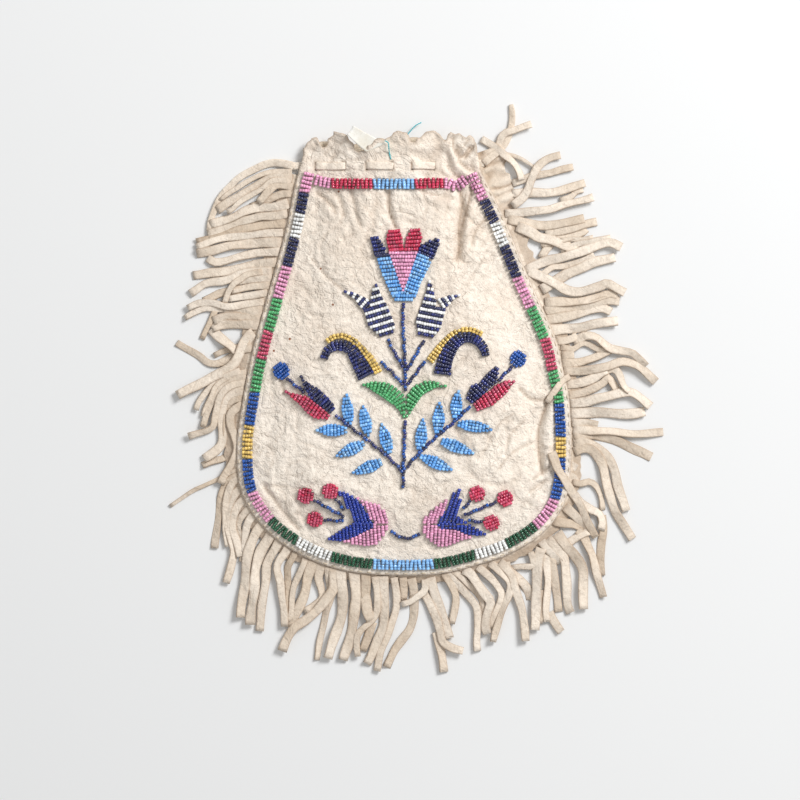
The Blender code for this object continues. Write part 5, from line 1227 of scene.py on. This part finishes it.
around = smooth_line(BORDER_LINE, 0.5)
lane_length = travelled(around)[-1]
runs = np.cumsum([sum(size for _, size in blocks) for blocks in (LEFT_BLOCKS, BOTTOM_BLOCKS, RIGHT_BLOCKS)])
left_end, right_start = lane_length * runs[0] / runs[2], lane_length * runs[1] / runs[2]
for run_name, slot, lane_start, lane_end, blocks in (
        ("left", "beads_green", 0, left_end, LEFT_BLOCKS),
        ("bottom", "beads_light_blue", left_end, right_start, BOTTOM_BLOCKS),
        ("right", "beads_green", right_start, lane_length, RIGHT_BLOCKS)):
    lane = at_distances(around, np.arange(lane_start, lane_end, 0.5))
    sew_beads(f"beads_border_{run_name}", slot, border_beads(lane, blocks), f"border_{run_name}")
top_lane = smooth_line(BORDER_TOP_LINE, 0.5)
room = nearest_on(around, top_lane)[0]
top_lane = top_lane[room > BORDER_WIDTH / 2 + 0.6]
sew_beads("beads_border_top", "beads_red", border_beads(top_lane, TOP_BLOCKS), "border_top")


# Tulip: a light blue cup round a pink heart, with two red tips and two navy ones. Each part is filled
# with short rows of beads, laid one above the other.
SAMPLE = 0.2
OVERSHOOT = 0.2
KEEP_APART = 1.15
SHORTEST_ROW = 0.55
FOOTPRINTS = {}


def free_place(beads, x, y):
    """Whether no bead lies at a place yet."""
    return all((x - other[0]) ** 2 + (y - other[1]) ** 2 > KEEP_APART ** 2 for other in beads)


def covers(patch, x, y):
    """Whether a bead patch of the CAD model lies under a place."""
    if patch not in FOOTPRINTS:
        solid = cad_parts[patch]
        shape = solid.data
        corners = [tuple(solid.matrix_world @ vertex.co) for vertex in shape.vertices]
        FOOTPRINTS[patch] = BVHTree.FromPolygons(corners, [tuple(face.vertices) for face in shape.polygons])
    hit = FOOTPRINTS[patch].ray_cast(Vector((x * MM, y * MM, 0.1)), Vector((0, 0, -1)))
    return hit[0] is not None


def stretches(patch, origin, way, reach, where):
    """Start and end of each stretch of a line that lies on a patch."""
    dx, dy = math.cos(way), math.sin(way)
    found, start = [], None
    for s in np.arange(-reach, reach + SAMPLE, SAMPLE):
        x, y = origin[0] + dx * s, origin[1] + dy * s
        on = covers(patch, x, y) and (where is None or where(x, y))
        if on and start is None:
            start = s
        if not on and start is not None:
            found.append((start - SAMPLE / 2 - OVERSHOOT, s - SAMPLE / 2 + OVERSHOOT))
            start = None
    return found


def fill_row(beads, origin, way, stretch, colour):
    """Beads side by side along a stretch of a row, none on top of one already there."""
    start, end = stretch
    if end - start < SHORTEST_ROW:
        return
    uneven = 0.3 * math.sin(7.0 * origin[0] + 5.0 * origin[1])
    count = max(1, round((end - start) / BEAD_LENGTH + uneven))
    for number in range(count):
        s = start + (number + 0.5) * (end - start) / count
        x, y = origin[0] + math.cos(way) * s, origin[1] + math.sin(way) * s
        if free_place(beads, x, y):
            beads.append((x, y, way, colour(), 0.0))


def straight_rows(patch, angle, colours, where=None, beads=None, pitch=ROW_PITCH):
    """Parallel rows over a patch, at an angle in degrees, that take the choices of colours in turn."""
    beads = [] if beads is None else beads
    chance = random.Random(patch)
    low, high = (np.array(corner_place)[:2] / MM for corner_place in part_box(patch))
    middle, reach = (low + high) / 2, np.linalg.norm(high - low) / 2 + 1
    way = math.radians(angle)
    upward = np.array([-math.sin(way), math.cos(way)])
    held = [offset for offset in np.arange(-reach, reach, SAMPLE)
            if stretches(patch, middle + offset * upward, way, reach, where)]
    first, last = held[0] - SAMPLE / 2, held[-1] + SAMPLE / 2
    count = max(1, round((last - first) / pitch))
    for row in range(count):
        origin = middle + (first + (row + 0.5) * (last - first) / count) * upward
        for stretch in stretches(patch, origin, way, reach, where):
            choice = colours[row % len(colours)]
            fill_row(beads, origin, way, stretch, lambda: chance.choice(choice))
    return beads


def fanned_rows(patch, spine, colours, where=None, beads=None, pitch=ROW_PITCH, reach=9.0, grow=0.0):
    """Rows square to a curved spine, over a patch, each a little longer at both ends if it is to grow."""
    beads = [] if beads is None else beads
    chance = random.Random(patch)
    line = smooth_line(spine, 0.25)
    length = travelled(line)[-1]
    stops = np.arange(pitch / 2, length, pitch)
    for row, (origin, (dx, dy)) in enumerate(zip(at_distances(line, stops), sideways(line, stops))):
        way = math.atan2(dy, dx)
        near = [s for s in stretches(patch, origin, way, reach, where) if s[0] < 2.5 and s[1] > -2.5]
        for start, end in near[:1]:
            choice = colours[row % len(colours)]
            fill_row(beads, origin, way, (start - grow, end + grow), lambda: chance.choice(choice))
    return beads


# Where the cup forks into its two sides, and the corner of it that is navy
CUP_FORK = (-0.3, 41.5)
CUP_NAVY = (-6, 62.3)
# Shades that a row picks its beads from
RED, NAVY, BLUE, PINK = ("red", "red", "rose"), ("navy", "navy", "violet"), ("blue", "light_blue"), ("pink",)
for name, angle, colours, slot in (("tulip_tip_red_left", 5, RED, "beads_red"),
                                   ("tulip_tip_red_right", 3, RED, "beads_red"),
                                   ("tulip_tip_navy_left", 8, NAVY, "beads_navy"),
                                   ("tulip_tip_navy_right", -22, NAVY, "beads_navy"),
                                   ("tulip_heart_pink", 0, PINK, "beads_pink")):
    sew_beads(f"beads_{name}", slot, straight_rows(name, angle, [colours]), name)
cup = straight_rows("tulip_cup_blue", 0, [BLUE], lambda x, y: y < CUP_FORK[1])
straight_rows("tulip_cup_blue", 6, [BLUE], lambda x, y: y >= CUP_FORK[1] and x < CUP_FORK[0], cup)
straight_rows("tulip_cup_blue", -20, [BLUE], lambda x, y: y >= CUP_FORK[1] and x >= CUP_FORK[0], cup)
cup = [(x, y, way, "navy" if y > CUP_NAVY[1] and x < CUP_NAVY[0] else colour, lift)
       for x, y, way, colour, lift in cup]
sew_beads("beads_tulip_cup", "beads_blue", cup, "tulip_cup_blue")


# Striped buds: one row navy, the next white, each bud with a pointed ear to its outer side where the
# rows turn to follow the ear.
EAR_EDGE = {"left": (-18.5, 33.5), "right": (17.5, 34.5)}
EAR_SPINES = {"left": [(-33, 43.2), (-26.5, 40.2), (-20, 34.8)],
              "right": [(32.5, 41.8), (26, 39.6), (19.5, 35.4)]}
STRIPES = (NAVY, ("white",))


def is_ear(side_name, x, y):
    """Whether a place lies in the pointed ear of a striped bud."""
    edge_x, edge_y = EAR_EDGE[side_name]
    return y > edge_y and abs(x) > abs(edge_x)


for side_name, angle in (("left", 17), ("right", -11)):
    name = f"striped_bud_{side_name}"
    stripes = straight_rows(name, angle, STRIPES, lambda x, y: not is_ear(side_name, x, y), pitch=1.98)
    fanned_rows(name, EAR_SPINES[side_name], STRIPES, lambda x, y: is_ear(side_name, x, y), stripes,
                pitch=1.75, reach=6.0, grow=0.35)
    sew_beads(f"beads_{name}", "beads_white", stripes, name)


# Curled petals: a broad navy one and a narrow yellow one on each side, their rows laid square to the
# curl and so fanned round it.
PETALS = {
    "petal_navy_left": ([(-44, 6), (-42, 11), (-37, 13.5), (-30.5, 12.5), (-26.5, 7.5), (-23.5, 1.5),
                         (-20.5, -4)], NAVY, "beads_navy"),
    "petal_yellow_left": ([(-42.5, 15.5), (-37.5, 18.5), (-32, 18.5), (-27, 15.5), (-22.5, 10.5), (-17.5, 5),
                           (-14, -2)], ("yellow",), "beads_yellow"),
    "petal_navy_right": ([(45, 7.5), (44, 11.5), (41, 15.5), (36, 18), (31, 17.5), (27, 14), (24, 9),
                          (22, 3.5), (21, -2.5)], NAVY, "beads_navy"),
    "petal_yellow_right": ([(43, 19.5), (37, 22), (30.5, 21.5), (24.5, 17.5), (19, 11.5), (14, 4.5)],
                           ("yellow",), "beads_yellow"),
}
for name, (spine, colours, slot) in PETALS.items():
    sew_beads(f"beads_{name}", slot, fanned_rows(name, spine, [colours]), name)


# Calyx: the green cup under the tulip, of glass seed beads sewn to the hide. Its rows fan from the
# tip of each wing down to the foot.
CALYX_LEFT = [(-23, -8), (-16, -8.8), (-9.5, -11), (-4.5, -15), (-1.5, -20), (-0.2, -26.3)]
CALYX_RIGHT = [(23.5, -9), (17, -8), (11, -9.5), (6, -14), (2.5, -19.5), (0.8, -26.3)]
CALYX_MIDDLE = 0.4
calyx = fanned_rows("calyx_green", CALYX_LEFT, [("green",)], lambda x, y: x < CALYX_MIDDLE)
fanned_rows("calyx_green", CALYX_RIGHT, [("green",)], lambda x, y: x >= CALYX_MIDDLE, calyx)
sew_beads("beads_calyx", "beads_green", calyx, "calyx_green")


# Stems: single strings of dark and bright blue beads, couched down between every second bead, so
# that they waver a little.
UPPER_STEMS = [
    [(-0.5, 36.8), (-0.5, 22), (0.5, 5.5), (0.5, -11)], [(-9, 17), (-5.5, 10), (0.5, 0)],
    [(11, 16.5), (7.5, 10), (0.8, -1.5)], [(-13, 4.5), (-6.5, -1.5), (0.5, -9.5)],
    [(11.5, 5), (6.5, -2), (0.5, -9.5)],
]
LOWER_STEMS = [
    [(0.5, -27.5), (0, -44), (-0.5, -65)], [(-0.5, -56), (-9, -47.5), (-20.5, -38), (-28.5, -32), (-37, -25)],
    [(-0.5, -56), (6, -48), (18.5, -36), (28, -28), (36, -20)],
]
STEM_SHADES = ("navy", "royal", "royal", "violet")
STEM_STEP = 1.62
STEM_WAVER = 0.22
STEM_SUNK = 0.1


def strung(beads, route, shades=STEM_SHADES, seed=1):
    """One string of beads along a route, wavering from side to side."""
    chance = random.Random(seed)
    line = smooth_line(route, 0.25)
    stops = np.arange(STEM_STEP / 2, travelled(line)[-1], STEM_STEP)
    for number, (place, side) in enumerate(zip(at_distances(line, stops), sideways(line, stops))):
        x, y = place + side * STEM_WAVER * (1 if (number // 2) % 2 else -1)
        if free_place(beads, x, y):
            beads.append((x, y, math.atan2(side[0], -side[1]), chance.choice(shades), -STEM_SUNK))
    return beads


for name, routes in (("upper_stems", UPPER_STEMS), ("lower_stems", LOWER_STEMS)):
    stem_beads = []
    for number, route in enumerate(routes):
        strung(stem_beads, route, seed=number)
    sew_beads(f"beads_{name}", "beads_royal", stem_beads, name)


# Leaves: twelve pointed ones of light and bright blue seed beads along the branching stem, each
# filled with short rows that are sewn across it.
LEAVES = [
    ((-32, -13), (-30, -29.5)), ((-23, -19.5), (-19.5, -36)), ((-12.5, -29), (-8, -45.5)),
    ((-48.5, -33), (-31, -33)), ((-37.5, -47.5), (-21.5, -40)), ((-28.5, -57), (-11.5, -50)),
    ((10.5, -26.5), (8.5, -44.5)), ((19.5, -17.5), (18.5, -35)), ((29.5, -11), (28, -26.5)),
    ((26.5, -55), (9.5, -47.5)), ((38.5, -46), (19.5, -38.5)), ((48.5, -32.5), (29.5, -29.5)),
]
LEAF_SHADES = ("blue", "blue", "light_blue")
for number, (tip, base) in enumerate(LEAVES, 1):
    name = f"leaf_{number}"
    leaf_beads = fanned_rows(name, [tip, base], [LEAF_SHADES], pitch=1.95, reach=5.0)
    sew_beads(f"beads_{name}", "beads_blue", leaf_beads, name)


# Side buds: a navy petal and a red one on each side, of seed beads in rows sewn square to the petal,
# and beside them a bright blue ball on a string of beads.
SIDE_SPINES = {
    "side_bud_navy_left": [(-57, -3), (-50, -10.5), (-39, -22.5)],
    "side_bud_red_left": [(-65.5, -11.2), (-56, -16.5), (-41.5, -26)],
    "side_bud_navy_right": [(51, 1.8), (44.5, -7.5), (35.2, -17.5)],
    "side_bud_red_right": [(61, -6), (52, -12), (38, -20.5)],
}
BALL_STEMS = {"left": [(-67.5, -0.5), (-64, -4.8), (-54, -13)], "right": [(62.5, 6), (59.5, 2), (51.5, -6)]}
BALL_RADIUS = 4.5
BALL_PITCH = 1.8


def bead_ball(patch, angle, shades, centre, radius):
    """Rows over the part of a patch that lies within a ball."""
    return straight_rows(patch, angle, [shades],
                         lambda x, y: (x - centre[0]) ** 2 + (y - centre[1]) ** 2 < radius ** 2,
                         pitch=BALL_PITCH)


for name, spine in SIDE_SPINES.items():
    colours, slot = (NAVY, "beads_navy") if "navy" in name else (("rose", "red"), "beads_red")
    wider = 0.7 if name == "side_bud_navy_right" else 0.1
    sew_beads(f"beads_{name}", slot, fanned_rows(name, spine, [colours], grow=wider), name)
for side_name, angle in (("left", 38), ("right", -38)):
    name = f"side_bud_ball_{side_name}"
    stem = BALL_STEMS[side_name]
    ball = bead_ball(name, angle, ("royal",), stem[0], BALL_RADIUS)
    strung(ball, stem, ("navy", "violet", "royal"), 4)
    sew_beads(f"beads_{name}", "beads_royal", ball, name)


# Bottom flowers: bright blue inside pink, in rows that stand nearly upright and lean out at the top,
# each with three red berries on strings, and a wavy string between the two flowers.
BERRIES = {
    "left": [((-54, -69), (-32, -81)), ((-40.5, -66.5), (-32.5, -77)), ((-49, -82), (-33.5, -83))],
    "right": [((40, -68), (32.5, -76)), ((55.5, -70.5), (33.5, -79.5)), ((48, -84), (34.5, -82.5))],
}
TENDRIL = [(-7.5, -88.5), (-1, -92), (4.5, -92), (9, -89.5)]
BERRY_RADIUS = 4.4
UPPER_PART = -84.0
for side_name, upper_angle, lower_angle, berry_angle in (("left", 106, 94, 80), ("right", 72, 86, 20)):
    for colour_name, colours, slot in (("blue", ("cobalt",), "beads_royal"), ("pink", PINK, "beads_pink")):
        name = f"flower_{colour_name}_{side_name}"
        petal = straight_rows(name, upper_angle, [colours], lambda x, y: y > UPPER_PART)
        straight_rows(name, lower_angle, [colours], lambda x, y: y <= UPPER_PART, petal)
        sew_beads(f"beads_{name}", slot, petal, name)
    for number, (centre, foot) in enumerate(BERRIES[side_name], 1):
        name = f"berry_{side_name}_{number}"
        berry = bead_ball(name, berry_angle, ("rose", "red"), centre, BERRY_RADIUS)
        strung(berry, [centre, foot], ("navy", "royal", "violet"), number)
        sew_beads(f"beads_{name}", "beads_red", berry, name)
sew_beads("beads_tendril", "beads_royal", strung([], TENDRIL, ("royal", "navy")), "tendril")
